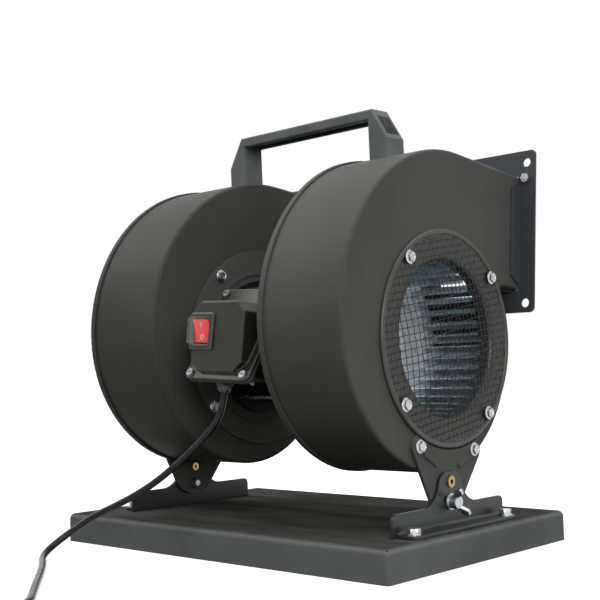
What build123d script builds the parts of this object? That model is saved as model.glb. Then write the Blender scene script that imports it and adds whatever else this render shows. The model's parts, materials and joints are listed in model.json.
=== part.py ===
"""Twin-drum radial blower on a tilting stand.

One motor sits between two equal scroll housings and turns both squirrel-cage impellers on one
shaft. Each impeller draws air in through a wire-guarded inlet on the outer face of its drum and
blows it out through a rectangular duct at the top rear. The two drums hang on a pivot above a
folded steel base and are clamped at any angle in reach by two wing screws.

Units are millimetres. The origin is the centre of the base's underside, X runs along the shaft,
-Y is the front with the switch box and +Z is up. The blower is built in a frame of its own, with
the shaft axis through the origin and no tilt, and is then set at its height and rest tilt.
"""
from build123d import *
from math import asin, atan2, cos, degrees, pi, radians, sin, sqrt, tan
import os

# Base tray
BASE_LENGTH = 400.0
BASE_DEPTH = 265.0
BASE_HEIGHT = 27.0
BASE_BEND = 5.0
BASE_LIP = 15.0

# Sheet metal
SHEET = 1.5
PLATE = 3.0
COVER_GAP = 0.3

# Blower in the stand
BLOWER_SHIFT = 11.0
PIVOT_Y = -12.0
PIVOT_HEIGHT = 65.3
PIVOT_TO_SHAFT = 122.2
REST_TILT = 5.6
TILT_EACH_WAY = 25.0
MOVING_GAP = 0.3
RUNNING_GAP = 0.05

# Scroll housing, reaches from the shaft
DRUM_WIDTH = 90.0
DRUM_SPACING = 135.0
SCROLL_TOP = 167.0
SCROLL_FRONT = 142.5
SCROLL_BOTTOM = 116.0
SCROLL_REAR = 97.0
SCROLL_CENTRE = 13.0
TONGUE_RADIUS = 6.0
DRAWN_EDGE = 3.0
COVER_EDGE = 1.2
COVER_RIM = 6.0

# Outlet duct and flange
DUCT_HEIGHT = 110.0
OUTLET_REACH = 114.0
FLANGE_THICKNESS = 2.0
FLANGE_MARGIN_SIDE = 18.5
FLANGE_MARGIN_TOP = 24.4
FLANGE_MARGIN_BOTTOM = 21.8
FLANGE_CORNER = 5.0
FLANGE_HOLE = 8.5
FLANGE_HOLE_SIDE = 9.5
FLANGE_HOLE_OUT = 12.8
FLANGE_BOLT_DROP = 3.0
COLLAR_DEPTH = 13.0
COLLAR_MITRE = 8.0
FLANGE_FIT = 0.15

# Inlet ring and guard
RING_RADIUS = 94.8
RING_MOUTH = 72.0
RING_THROAT = 67.0
RING_DEPTH = 11.0
MOUTH_CURVE = 5.0
INLET_HOLE = 73.0
GUARD_PITCH = 6.0
GUARD_WIRE = 1.0
GUARD_RIM = 2.0
GUARD_RIM_WIDTH = 5.0
GUARD_DOME = 5.0
GUARD_DOME_RADIUS = 76.0
GUARD_CREST_RADIUS = 46.0
GUARD_TURN = 15.0
GUARD_BOLT_CIRCLE = 86.5

# Motor
MOTOR_PLATE_RADIUS = 96.0
MOTOR_PLATE_THICKNESS = 2.5
MOTOR_PLATE_HOLE = 20.0
MOTOR_BOLT_CIRCLE = 88.5
MOTOR_OPENING = 68.0
MOTOR_BEAD_RADIUS = 76.0
MOTOR_BEAD = 4.0
MOTOR_BEAD_HEIGHT = 0.8
CASING_RADIUS = 55.0
CASING_WALL = 3.0
CASING_LENGTH = 104.0
SHIELD_FLANGE_RADIUS = 66.0
SHIELD_FLANGE = 4.0
SHIELD_SPIGOT = 6.0
SHIELD_SEAT = 3.0
BEARING_OUTER = 16.0
BEARING_WIDTH = 10.0
SHAFT_RADIUS = 6.0
SHAFT_CLEARANCE = 1.5
STATOR_BORE = 27.5
STATOR_LENGTH = 60.0
WINDING_INNER = 31.0
WINDING_OUTER = 47.0
WINDING_LENGTH = 14.0
AIR_GAP = 0.5
TIE_CIRCLE = 60.5
TIE_RADIUS = 2.5
TIE_ANGLE = 60.0

# Impeller
BLADES = 40
BLADE_INNER = 67.0
BLADE_OUTER = 84.0
BLADE_THICKNESS = 0.8
BLADE_CURVE = 12.0
BLADE_LEAN = 5.0
IMPELLER_BACK_ROOM = 14.5
IMPELLER_FRONT_ROOM = 13.0
IMPELLER_RING_WIDTH = 7.0
IMPELLER_RIM = 1.5
HUB_RADIUS = 12.0
HUB_LENGTH = 19.0
SHAFT_PROUD = 1.0
GRUB_RADIUS = 3.0
GRUB_LENGTH = 4.5

# Switch box
BOX_SHIFT = 4.0
BOX_TWIST = 2.8
PANEL_REACH = 128.0
PANEL_WIDTH = 64.0
PANEL_BOTTOM = -36.0
PANEL_TOP = 26.2
PANEL_CHAMFER = 9.0
PANEL_ROUND = 1.5
COVER_WIDTH = 80.0
COVER_THICKNESS = 3.0
COVER_CORNER = 6.0
COVER_SLOPE = 25.7
COVER_HEIGHT = 94.0
COVER_CENTRE_Y = -106.3
COVER_CENTRE_Z = -0.3
GASKET = 1.0
BOX_WALL = 2.5
BOX_INSET = 2.0
COVER_SCREW_X = 33.4
COVER_SCREW_ALONG = 42.0
SWITCH_WIDTH = 28.6
SWITCH_HEIGHT = 32.7
SWITCH_LIFT = 3.9
SWITCH_OVERHANG = 1.3
SWITCH_BEZEL = 2.0
SWITCH_STEP = 3.0
SWITCH_BODY_DEPTH = 24.0
ROCKER_WIDTH = 19.5
ROCKER_HEIGHT = 22.0
ROCKER_PROUD = 2.2
ROCKER_THROW = 12.0
ROCKER_PIN = 1.5
ROCKER_PIN_PROUD = 0.6
ROCKER_GAP = 0.6
CAP_WIDTH = 21.5
CAP_HEIGHT = 24.5
CAP_PROUD = 8.0
CAP_WALL = 0.7
CAPACITOR_RADIUS = 13.0
CAPACITOR_LENGTH = 44.0
SEAT_GAP = 0.3
TERMINAL_SIZE = (34.0, 14.0, 12.0)

# Cable gland
GLAND_X = -3.0
GLAND_Y = -110.5
GLAND_THREAD = 5.5
GLAND_HEX = 7.0
GLAND_HEX_HEIGHT = 6.5
GLAND_NUT_HEX = 5.8
GLAND_NUT_HEIGHT = 4.0
GLAND_TIP_RADIUS = 4.6
GLAND_TIP_LENGTH = 2.0
GLAND_LOCKNUT = 3.0

# Carrying handle
HANDLE_LENGTH = 205.0
HANDLE_SLOPE_RUN = 17.25
HANDLE_HEIGHT = 48.0
HANDLE_DEPTH = 26.0
HANDLE_SHOULDER = 19.0
HANDLE_LEG = 22.0
HANDLE_BAR = 10.0
HANDLE_ROUND = 2.0
HANDLE_FORWARD = 7.0
HANDLE_POCKET = 18.0
HANDLE_POCKET_FLOOR = 14.0
HANDLE_POCKET_WALL = 2.5
HANDLE_CHANNEL = 14.0
HANDLE_CHANNEL_DEPTH = 4.0

# Tilt arms and foot brackets
ARM_EAR_Y = 39.6
ARM_EAR_Z = -94.2
ARM_EAR_RADIUS = 10.0
ARM_FOOT_RADIUS = 27.8
ARM_RING_GAP = 1.2
ARM_RIB = 5.0
ARM_RIB_HEIGHT = 1.2
ARM_RIB_SETBACK = 7.6
ARM_RIB_DROP = 6.3
ARM_RIB_FALL = 7.0
RIVET_TO_RIB = 17.0
CLAMP_RADIUS = 16.7
FOOT_LENGTH = 160.0
FOOT_SHOULDER = 46.0
FOOT_NECK = 24.0
FOOT_LOBE_TOP = 8.2
FOOT_LOBE_HALF = 16.0
FOOT_CORNER = 5.0
FOOT_FLANGE = 17.5
FOOT_BEND = 2.5
FOOT_BOLT_SPACING = 135.0
FOOT_BOLT_OUT = 10.2
RIVET_RADIUS = 3.0
RIVET_BORE = 2.0
RIVET_HEAD = 5.0
RIVET_FLARE = 4.0
RIVET_HEAD_HEIGHT = 1.6
RIVET_FLARE_HEIGHT = 1.0

# Wing screws
WING_SHANK = 2.95
WING_HUB = 5.6
WING_HUB_LENGTH = 7.5
WING_SPAN = 13.0
WING_RISE = 12.0
WING_TIP_HEIGHT = 5.0
WING_ROOT = 3.0
WING_TURN = 35.0
WING_THICKNESS = 3.0
WING_WASHER = 7.0
WING_WASHER_HEIGHT = 1.6
WELD_NUT_HEIGHT = 5.0

# Fasteners
M6 = 3.0
M6_HOLE = 3.3
M6_HEX = 5.0
M6_HEAD_HEIGHT = 4.0
M6_NUT_HEIGHT = 5.0
M6_WASHER_RADIUS = 6.0
M6_WASHER_HEIGHT = 1.6
M5 = 2.5
M5_HOLE = 2.75
M5_HEX = 4.0
M5_NUT_HEIGHT = 4.0
M5_HEAD_HEIGHT = 2.6
M5_FLANGE_RADIUS = 5.9
M5_FLANGE_HEIGHT = 1.1
M4 = 2.0
M4_HEAD = 3.6
M4_HEAD_HEIGHT = 2.4
THREAD_PROUD = 1.0

# Mains cord and plug
CORD_RADIUS = 3.1
COIL_RADIUS = 34.0
COIL_ROWS = 3
COIL_LAYERS = 2
COIL_CENTRE = (3.0, -394.0)
COIL_EXIT = -110.0
CORD_IN_GLAND = 5.0
CORD_ROUTE = [
    (8.6, -117.0, 127.0),
    (-4.5, -124.0, 108.0),
    (-24.0, -136.0, 86.5),
    (-50.0, -148.0, 64.5),
    (-80.0, -160.0, 47.5),
    (-107.0, -171.0, 35.5),
    (-122.5, -182.5, 23.0),
    (-129.5, -196.0, 13.0),
    (-128.0, -209.0, 6.0),
    (-117.0, -220.5, CORD_RADIUS),
    (-97.0, -233.5, CORD_RADIUS),
    (-66.0, -256.0, CORD_RADIUS),
    (-28.0, -286.0, CORD_RADIUS),
    (8.0, -313.5, CORD_RADIUS),
    (33.0, -333.0, CORD_RADIUS),
    (46.0, -353.0, CORD_RADIUS),
    (48.5, -376.0, CORD_RADIUS),
    (44.0, -398.0, CORD_RADIUS),
    (35.0, -414.0, CORD_RADIUS),
]
TAIL_ROUTE = [
    (-29.0, -427.5, CORD_RADIUS),
    (-44.0, -424.0, 8.0),
    (-58.0, -418.5, 15.0),
    (-71.0, -411.0, 18.5),
    (-82.0, -403.5, 18.5),
]
PLUG_RADIUS = 18.5
PLUG_FACE = 17.0
PLUG_SHOULDER = 12.0
PLUG_GRIP_RADIUS = 8.5
PLUG_GRIP = 18.0
PLUG_TAIL_RADIUS = 5.0
PLUG_TAIL = 10.0
PIN_RADIUS = 2.4
PIN_LENGTH = 19.0
PIN_SPACING = 19.0
EARTH_HOLE = 10.0

# Values that follow from the sizes above
SIDES = {"left": -1, "right": 1}
DRUM_CENTRE = (DRUM_SPACING + DRUM_WIDTH) / 2
DRUM_INNER = DRUM_SPACING / 2
DRUM_OUTER = DRUM_INNER + DRUM_WIDTH
TOP_RADIUS = SCROLL_TOP - SCROLL_CENTRE
FRONT_RADIUS = SCROLL_BOTTOM + SCROLL_CENTRE
REAR_RADIUS = SCROLL_REAR + SCROLL_FRONT - FRONT_RADIUS
TOP_CENTRE = (TOP_RADIUS - SCROLL_FRONT, SCROLL_TOP - TOP_RADIUS)
FRONT_CENTRE = (FRONT_RADIUS - SCROLL_FRONT, FRONT_RADIUS - SCROLL_BOTTOM)
REAR_CENTRE = (FRONT_CENTRE[0], REAR_RADIUS - SCROLL_BOTTOM)
DUCT_FLOOR = SCROLL_TOP - DUCT_HEIGHT
IMPELLER_BACK = DRUM_INNER + IMPELLER_BACK_ROOM
IMPELLER_FRONT = DRUM_OUTER - IMPELLER_FRONT_ROOM
RING_FACE = DRUM_OUTER + SHEET
ARM_FACE = DRUM_OUTER + PLATE
FOOT_FACE = ARM_FACE + MOVING_GAP + PLATE
MOTOR_PLATE_FACE = DRUM_INNER - MOTOR_PLATE_THICKNESS
PANEL_CENTRE = (PANEL_BOTTOM + PANEL_TOP) / 2
SWITCH_X = (SWITCH_WIDTH - PANEL_WIDTH) / 2 - SWITCH_OVERHANG
SWITCH_Z = PANEL_CENTRE + SWITCH_LIFT
BOX_FLOOR = COVER_CENTRE_Z - (COVER_HEIGHT / 2 - BOX_INSET) * cos(radians(COVER_SLOPE))
GLAND_TIP = BOX_FLOOR - GLAND_HEX_HEIGHT - GLAND_NUT_HEIGHT - GLAND_TIP_LENGTH
COIL_WIDTH = 2 * CORD_RADIUS * COIL_ROWS
COIL_HEIGHT = 2 * CORD_RADIUS * COIL_LAYERS

REST = Pos(BLOWER_SHIFT, PIVOT_Y, PIVOT_HEIGHT) * Rot(-REST_TILT, 0, 0) * Pos(0, 0, PIVOT_TO_SHAFT)
BOX_PLACE = Pos(BOX_SHIFT, 0, 0) * Rot(0, BOX_TWIST, 0)
COVER_PLACE = BOX_PLACE * Pos(0, COVER_CENTRE_Y, COVER_CENTRE_Z) * Rot(-COVER_SLOPE, 0, 0) * Rot(90, 0, 0)


def slab(outline, start, end):
    """An outline drawn in (y, z), made solid from x = start to x = end."""
    return Pos(start, 0, 0) * extrude(Plane.YZ * outline, end - start)


def rod(radius, start, end, y=0.0, z=0.0):
    """A round bar along X."""
    return Pos((start + end) / 2, y, z) * Rot(0, 90, 0) * Cylinder(radius, abs(end - start))


def turned(profile):
    """A ring about the shaft, from its half section in (x, r)."""
    section = make_face(Polyline(*[(x, 0, r) for x, r in profile], close=True))
    return revolve(section, Axis.X, 360)


def hexagon(radius_to_flat, height):
    """A hexagonal bar up from z = 0."""
    return extrude(RegularPolygon(radius_to_flat, 6, major_radius=False), height)


def flange_bolt(grip):
    """A hex bolt with a built-in flange. It stands on z = 0 and its shank hangs down."""
    flange = Pos(0, 0, M5_FLANGE_HEIGHT / 2) * Cylinder(M5_FLANGE_RADIUS, M5_FLANGE_HEIGHT)
    head = Pos(0, 0, M5_FLANGE_HEIGHT) * hexagon(M5_HEX, M5_HEAD_HEIGHT)
    shank = Pos(0, 0, -grip / 2) * Cylinder(M5, grip)
    return flange + head + shank


def nut(hex_size, height, bore):
    """A hex nut up from z = 0."""
    return hexagon(hex_size, height) - Cylinder(bore, 3 * height)


def facing(side):
    """Turns a fastener that stands on z = 0 so that it stands on a face looking along side * X."""
    return Rot(0, 90 * side, 0)


def around(radius, angles):
    """Places (y, z) on a circle about the shaft."""
    return [(radius * cos(radians(a)), radius * sin(radians(a))) for a in angles]


FOUR_CORNERS = [45, 135, 225, 315]
GUARD_BOLTS = around(GUARD_BOLT_CIRCLE, FOUR_CORNERS)
MOTOR_BOLTS = around(MOTOR_BOLT_CIRCLE, FOUR_CORNERS)
ARM_BOLTS = [(-ARM_EAR_Y, ARM_EAR_Z), (ARM_EAR_Y, ARM_EAR_Z)]
TIE_BOLTS = around(TIE_CIRCLE, [TIE_ANGLE, 180 - TIE_ANGLE, 180 + TIE_ANGLE, -TIE_ANGLE])


def drill(radius, start, end, places):
    """Round holes along X at the given (y, z) places."""
    return [rod(radius, start, end, y, z) for y, z in places]


def scroll(inset, reach):
    """The scroll's outline in (y, z), drawn in by inset: three tangent arcs, then the outlet duct."""
    floor = DUCT_FLOOR + inset
    rear = REAR_RADIUS - inset
    rise = degrees(asin((floor - REAR_CENTRE[1]) / rear))
    tongue = (REAR_CENTRE[0] + rear * cos(radians(rise)), floor)
    top = SCROLL_TOP - inset
    edges = [
        Line((reach, top), (TOP_CENTRE[0], top)),
        CenterArc(TOP_CENTRE, TOP_RADIUS - inset, 90, 90),
        CenterArc(FRONT_CENTRE, FRONT_RADIUS - inset, 180, 90),
        CenterArc(REAR_CENTRE, rear, 270, 90 + rise),
        Line(tongue, (reach, floor)),
        Line((reach, floor), (reach, top)),
    ]
    face = make_face(edges)
    corner = face.vertices().sort_by_distance((*tongue, 0))[0]
    return fillet(corner, TONGUE_RADIUS + inset)


def handle_foot_angle():
    """How far the handle's foot leans forward of straight up, about the top arc's centre."""
    return Pos(0, TOP_CENTRE[0], TOP_CENTRE[1]) * Rot(HANDLE_FORWARD, 0, 0) * Pos(0, 0, TOP_RADIUS)


def handle_screw_x(side):
    """The handle screw's place along X, in the middle of its pocket."""
    return side * (HANDLE_LENGTH / 2 - HANDLE_LEG / 2)


def drum_holes(side, inlet_side):
    """What is cut through one face of a drum: its inlet or its motor opening, with the bolts' holes."""
    if inlet_side:
        near, far = sorted((side * (DRUM_OUTER - 2 * DRAWN_EDGE), side * (DRUM_OUTER + 1)))
        cuts = [rod(INLET_HOLE, near, far)]
        cuts += drill(M5_HOLE, near, far, GUARD_BOLTS + ARM_BOLTS)
    else:
        near, far = sorted((side * (DRUM_INNER - 1), side * (DRUM_INNER + 2 * DRAWN_EDGE)))
        cuts = [rod(MOTOR_OPENING, near, far)]
        cuts += drill(M5_HOLE, near, far, MOTOR_BOLTS)
    return cuts


def housing_shell(side):
    """The drum's wrapper, drawn in one with the face on its +X side. It is open on the -X side."""
    cover_face = side * DRUM_CENTRE - DRUM_WIDTH / 2
    drawn_face = cover_face + DRUM_WIDTH
    body = slab(scroll(0, OUTLET_REACH), cover_face + SHEET, drawn_face)
    rim_edges = body.faces().sort_by(Axis.X)[-1].edges()
    rim_edges = rim_edges.filter_by(lambda e: e.center().Y < OUTLET_REACH - 0.01)
    body = fillet(rim_edges, DRAWN_EDGE)
    body -= slab(scroll(SHEET, OUTLET_REACH + 1), cover_face, drawn_face - SHEET)
    for cut in drum_holes(side, inlet_side=side > 0):
        body -= cut
    screw = Pos(handle_screw_x(side), 0, 0) * handle_foot_angle()
    return body - screw * Cylinder(M5_HOLE, 6 * SHEET)


def housing_cover(side):
    """The flat cover on the drum's -X side, with its edge folded over the wrapper."""
    face = side * DRUM_CENTRE - DRUM_WIDTH / 2
    rim_end = OUTLET_REACH - FLANGE_THICKNESS - COLLAR_DEPTH - MOVING_GAP
    body = slab(scroll(-COVER_GAP - SHEET, rim_end), face, face + COVER_RIM)
    outer_edges = body.faces().sort_by(Axis.X)[0].edges()
    outer_edges = outer_edges.filter_by(lambda e: e.center().Y < rim_end - 0.01)
    body = fillet(outer_edges, COVER_EDGE)
    body -= slab(scroll(-COVER_GAP, rim_end + 1), face + SHEET, face + COVER_RIM + 1)
    duct_side = Rectangle(OUTLET_REACH - rim_end, DUCT_HEIGHT)
    middle = Pos((OUTLET_REACH + rim_end) / 2, DUCT_FLOOR + DUCT_HEIGHT / 2)
    body += slab(middle * duct_side, face, face + SHEET)
    for cut in drum_holes(side, inlet_side=side < 0):
        body -= cut
    return body


def outlet_flange(side):
    """The bolting flange round the duct's mouth, with a collar of four mitred tabs along the duct."""
    middle_z = DUCT_FLOOR + DUCT_HEIGHT / 2
    width = DRUM_WIDTH + 2 * FLANGE_MARGIN_SIDE
    height = DUCT_HEIGHT + FLANGE_MARGIN_TOP + FLANGE_MARGIN_BOTTOM
    lift = (FLANGE_MARGIN_TOP - FLANGE_MARGIN_BOTTOM) / 2
    inner_width = DRUM_WIDTH + 2 * FLANGE_FIT
    inner_height = DUCT_HEIGHT + 2 * FLANGE_FIT
    sketch = Pos(0, lift) * RectangleRounded(width, height, FLANGE_CORNER) - Rectangle(inner_width, inner_height)
    hole_x = width / 2 - FLANGE_HOLE_SIDE
    hole_z = DUCT_HEIGHT / 2 + FLANGE_HOLE_OUT
    for x, z in [(-hole_x, -hole_z), (-hole_x, hole_z), (hole_x, -hole_z), (hole_x, hole_z)]:
        sketch -= Pos(x, z) * Circle(FLANGE_HOLE / 2)
    for x, z in flange_bolt_places():
        sketch -= Pos(x, z) * Circle(M5_HOLE)
    body = extrude(sketch, FLANGE_THICKNESS)
    rim_room = COVER_RIM + MOVING_GAP
    tabs = [
        (inner_height - 2 * FLANGE_CORNER, 0, (inner_width / 2, 0)),
        (inner_height - 2 * FLANGE_CORNER, 180, (-inner_width / 2, 0)),
        (inner_width - 2 * rim_room, 90, (0, inner_height / 2)),
        (inner_width - 2 * rim_room, -90, (0, -inner_height / 2)),
    ]
    for length, turn, (x, z) in tabs:
        tab = make_face(Polyline((-length / 2, 0), (length / 2, 0), (length / 2 - COLLAR_MITRE, COLLAR_DEPTH),
                                 (COLLAR_MITRE - length / 2, COLLAR_DEPTH), close=True))
        tab = extrude(Plane.YZ * tab, SHEET)
        body += Pos(x, z, FLANGE_THICKNESS) * Rot(0, 0, turn) * tab
    return Pos(side * DRUM_CENTRE, OUTLET_REACH, middle_z) * Rot(90, 0, 0) * body


def flange_bolt_places():
    """Small bolts that hold the flange's upper collar corners, (x, z) from the duct's centre."""
    x = DRUM_WIDTH / 2 + FLANGE_MARGIN_SIDE - FLANGE_HOLE_SIDE
    z = DUCT_HEIGHT / 2 - FLANGE_BOLT_DROP
    return [(-x, z), (x, z)]


def flange_fasteners():
    """The flanges' small bolts, each with its nut on the front side."""
    parts = []
    for side in SIDES.values():
        for x, z in flange_bolt_places():
            place = Pos(side * DRUM_CENTRE + x, OUTLET_REACH, DUCT_FLOOR + DUCT_HEIGHT / 2 + z)
            head = hexagon(M5_HEX, M5_NUT_HEIGHT)
            grip = FLANGE_THICKNESS + M5_NUT_HEIGHT + THREAD_PROUD
            bolt = head + Pos(0, 0, -grip / 2) * Cylinder(M5, grip)
            parts.append(place * Rot(-90, 0, 0) * bolt)
            seat = Pos(0, -FLANGE_THICKNESS, 0) * Rot(90, 0, 0)
            parts.append(place * seat * nut(M5_HEX, M5_NUT_HEIGHT, M5))
    return parts


def inlet_ring(side):
    """The pressed inlet ring: a flat flange with a rolled rim, turned in to a bell mouth."""
    outer_corner = sin(radians(45)) * MOUTH_CURVE
    inner_curve = MOUTH_CURVE - SHEET
    inner_corner = sin(radians(45)) * inner_curve
    bend = (RING_FACE - MOUTH_CURVE, RING_MOUTH)
    rim_inner = RING_RADIUS - GUARD_RIM_WIDTH
    edges = [
        Line((RING_FACE + GUARD_RIM, RING_RADIUS), (RING_FACE + GUARD_RIM, rim_inner)),
        Line((RING_FACE + GUARD_RIM, rim_inner), (RING_FACE, rim_inner)),
        Line((RING_FACE, rim_inner), (RING_FACE, RING_MOUTH)),
        ThreePointArc((RING_FACE, RING_MOUTH), (bend[0] + outer_corner, bend[1] - outer_corner),
                      (bend[0], RING_THROAT)),
        Line((bend[0], RING_THROAT), (DRUM_OUTER - RING_DEPTH, RING_THROAT)),
        Line((DRUM_OUTER - RING_DEPTH, RING_THROAT), (DRUM_OUTER - RING_DEPTH, RING_THROAT + SHEET)),
        Line((DRUM_OUTER - RING_DEPTH, RING_THROAT + SHEET), (bend[0], RING_THROAT + SHEET)),
        ThreePointArc((bend[0], RING_THROAT + SHEET), (bend[0] + inner_corner, bend[1] - inner_corner),
                      (DRUM_OUTER, RING_MOUTH)),
        Line((DRUM_OUTER, RING_MOUTH), (DRUM_OUTER, RING_RADIUS)),
        Line((DRUM_OUTER, RING_RADIUS), (RING_FACE + GUARD_RIM, RING_RADIUS)),
    ]
    ring = revolve(Plane.XZ * make_face(edges), Axis.X, 360)
    for y, z in GUARD_BOLTS:
        ring -= rod(M5_HOLE, DRUM_OUTER - 1, RING_FACE + 1, y, z)
    return ring if side > 0 else mirror(ring, Plane.YZ)


def guard_wire(offset, layer):
    """One wire of the guard, across the ring at an offset from its centre and bent over the dome."""
    half = sqrt((RING_RADIUS - GUARD_RIM_WIDTH - COVER_GAP) ** 2 - (abs(offset) + GUARD_WIRE / 2) ** 2)
    path = [(-half, 0), (half, 0)]
    if abs(offset) < GUARD_DOME_RADIUS - GUARD_PITCH:
        foot = sqrt(GUARD_DOME_RADIUS ** 2 - offset ** 2)
        rise = GUARD_DOME * (1 - (offset / GUARD_DOME_RADIUS) ** 2)
        crest = foot * GUARD_CREST_RADIUS / GUARD_DOME_RADIUS
        path = [(-half, 0), (-foot, 0), (-crest, rise), (crest, rise), (foot, 0), (half, 0)]
    over = [(s, h + GUARD_WIRE) for s, h in reversed(path)]
    profile = make_face(Polyline(*path, *over, close=True))
    wire = extrude(Plane.XZ * profile, GUARD_WIRE / 2, both=True)
    return Pos(0, offset, layer * GUARD_WIRE) * wire


def inlet_guard(side):
    """The wire guard inside the inlet ring's rim: two layers of crossing wires, domed in the middle."""
    rows = int((RING_RADIUS - GUARD_RIM_WIDTH - GUARD_PITCH / 2) / GUARD_PITCH)
    parts = []
    for layer, turn in [(0, GUARD_TURN), (1, GUARD_TURN + 90)]:
        for row in range(-rows, rows + 1):
            parts.append(Rot(0, 0, turn) * guard_wire(row * GUARD_PITCH, layer))
    place = Pos(side * RING_FACE, 0, 0) * facing(side)
    parts = [place * wire for wire in parts]
    for y, z in GUARD_BOLTS:
        near, far = sorted((side * RING_FACE, side * (RING_FACE + 4 * GUARD_WIRE)))
        hole = rod(M5_HOLE, near, far, y, z)
        parts = [piece for wire in parts for piece in (wire - hole).solids()]
    return parts


def through_bolts(side, outer_face, inner_face, places):
    """Flange bolts along X with their heads on outer_face and a nut on inner_face, as separate solids."""
    grip = abs(outer_face - inner_face) + M5_NUT_HEIGHT + THREAD_PROUD
    parts = []
    for y, z in places:
        parts.append(Pos(outer_face, y, z) * facing(side) * flange_bolt(grip))
        parts.append(Pos(inner_face, y, z) * facing(-side) * nut(M5_HEX, M5_NUT_HEIGHT, M5))
    return parts


def guard_fasteners():
    """Bolts and nuts that clamp each guard and inlet ring to its drum."""
    parts = []
    for side in SIDES.values():
        head_face = side * (RING_FACE + 2 * GUARD_WIRE)
        parts += through_bolts(side, head_face, side * (DRUM_OUTER - SHEET), GUARD_BOLTS)
    return parts


def arm_fasteners():
    """Bolts and nuts that hold each tilt arm to its drum."""
    parts = []
    for side in SIDES.values():
        parts += through_bolts(side, side * ARM_FACE, side * (DRUM_OUTER - SHEET), ARM_BOLTS)
    return parts


def motor_plate_fasteners():
    """Bolts and nuts that hold the drums to the motor's end plates."""
    parts = []
    for side in SIDES.values():
        head_face = side * MOTOR_PLATE_FACE
        parts += through_bolts(-side, head_face, side * (DRUM_INNER + SHEET), MOTOR_BOLTS)
    return parts


def motor_plate(side):
    """The round plate between the motor and one drum, stiffened by a pressed bead."""
    plate = rod(MOTOR_PLATE_RADIUS, MOTOR_PLATE_FACE, DRUM_INNER)
    bead_face = MOTOR_PLATE_FACE - MOTOR_BEAD_HEIGHT
    bead = rod(MOTOR_BEAD_RADIUS, bead_face, MOTOR_PLATE_FACE)
    bead -= rod(MOTOR_BEAD_RADIUS - MOTOR_BEAD, bead_face - 1, MOTOR_PLATE_FACE + 1)
    plate += bead
    plate -= rod(MOTOR_PLATE_HOLE, bead_face, DRUM_INNER + 1)
    for cut in drill(M5_HOLE, MOTOR_PLATE_FACE - 1, DRUM_INNER + 1, MOTOR_BOLTS):
        plate -= cut
    for cut in drill(M5_HOLE, MOTOR_PLATE_FACE - 1, DRUM_INNER + 1, TIE_BOLTS):
        plate -= cut
    return plate if side > 0 else mirror(plate, Plane.YZ)


def motor_casing():
    """The motor's rolled steel casing."""
    half = CASING_LENGTH / 2
    return rod(CASING_RADIUS, -half, half) - rod(CASING_RADIUS - CASING_WALL, -half - 1, half + 1)


def end_shield(side):
    """The cast end shield: a spigot in the casing, a bearing seat and a flange against the plate."""
    end = CASING_LENGTH / 2
    bore = CASING_RADIUS - CASING_WALL
    face = MOTOR_PLATE_FACE
    seat = face - SHIELD_SEAT - BEARING_WIDTH
    wall = BEARING_OUTER + SHIELD_SEAT
    profile = [
        (end - SHIELD_SPIGOT, bore - SHIELD_SEAT), (end - SHIELD_SPIGOT, bore), (end, bore),
        (end, CASING_RADIUS), (face - SHIELD_FLANGE, CASING_RADIUS),
        (face - SHIELD_FLANGE, SHIELD_FLANGE_RADIUS), (face, SHIELD_FLANGE_RADIUS),
        (face, SHAFT_RADIUS + SHAFT_CLEARANCE), (face - SHIELD_SEAT, SHAFT_RADIUS + SHAFT_CLEARANCE),
        (face - SHIELD_SEAT, BEARING_OUTER), (seat, BEARING_OUTER), (seat, wall),
        (face - SHIELD_SEAT, wall), (face - SHIELD_FLANGE, wall + SHIELD_SEAT),
        (face - SHIELD_FLANGE, bore - SHIELD_SEAT),
    ]
    shield = turned(profile)
    for cut in drill(M5_HOLE, face - SHIELD_FLANGE - 1, face + 1, TIE_BOLTS):
        shield -= cut
    return shield if side > 0 else mirror(shield, Plane.YZ)


def tie_bolts():
    """Four long bolts that clamp the end shields on the casing, each with a nut at its right end."""
    head_face = DRUM_INNER
    parts = []
    for y, z in TIE_BOLTS:
        shank = rod(TIE_RADIUS, -head_face, head_face + M5_NUT_HEIGHT + THREAD_PROUD, y, z)
        head = Pos(-head_face, y, z) * facing(-1) * hexagon(M5_HEX, M5_NUT_HEIGHT)
        parts.append(shank + head)
        parts.append(Pos(head_face, y, z) * facing(1) * nut(M5_HEX, M5_NUT_HEIGHT, TIE_RADIUS))
    return parts


def motor_bearings():
    """A ball bearing in each end shield, as a plain ring."""
    parts = []
    for side in SIDES.values():
        start = MOTOR_PLATE_FACE - SHIELD_SEAT - BEARING_WIDTH
        ring = rod(BEARING_OUTER, start, start + BEARING_WIDTH)
        ring -= rod(SHAFT_RADIUS + RUNNING_GAP, start - 1, start + BEARING_WIDTH + 1)
        parts.append(ring if side > 0 else mirror(ring, Plane.YZ))
    return parts


def stator_core():
    """The laminated stator stack."""
    half = STATOR_LENGTH / 2
    return rod(CASING_RADIUS - CASING_WALL, -half, half) - rod(STATOR_BORE, -half - 1, half + 1)


def stator_windings():
    """The end turns of the windings, a rounded ring at each end of the stack."""
    parts = []
    for side in SIDES.values():
        start = STATOR_LENGTH / 2
        bevel = WINDING_LENGTH / 3
        end = start + WINDING_LENGTH
        ring = turned([
            (start, WINDING_INNER), (end - bevel, WINDING_INNER), (end, WINDING_INNER + bevel),
            (end, WINDING_OUTER - bevel), (end - bevel, WINDING_OUTER), (start, WINDING_OUTER),
        ])
        parts.append(ring if side > 0 else mirror(ring, Plane.YZ))
    return parts


def motor_shaft():
    """The through shaft that carries the rotor and both impellers."""
    end = IMPELLER_BACK + HUB_LENGTH + SHAFT_PROUD
    return rod(SHAFT_RADIUS, -end, end)


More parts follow.
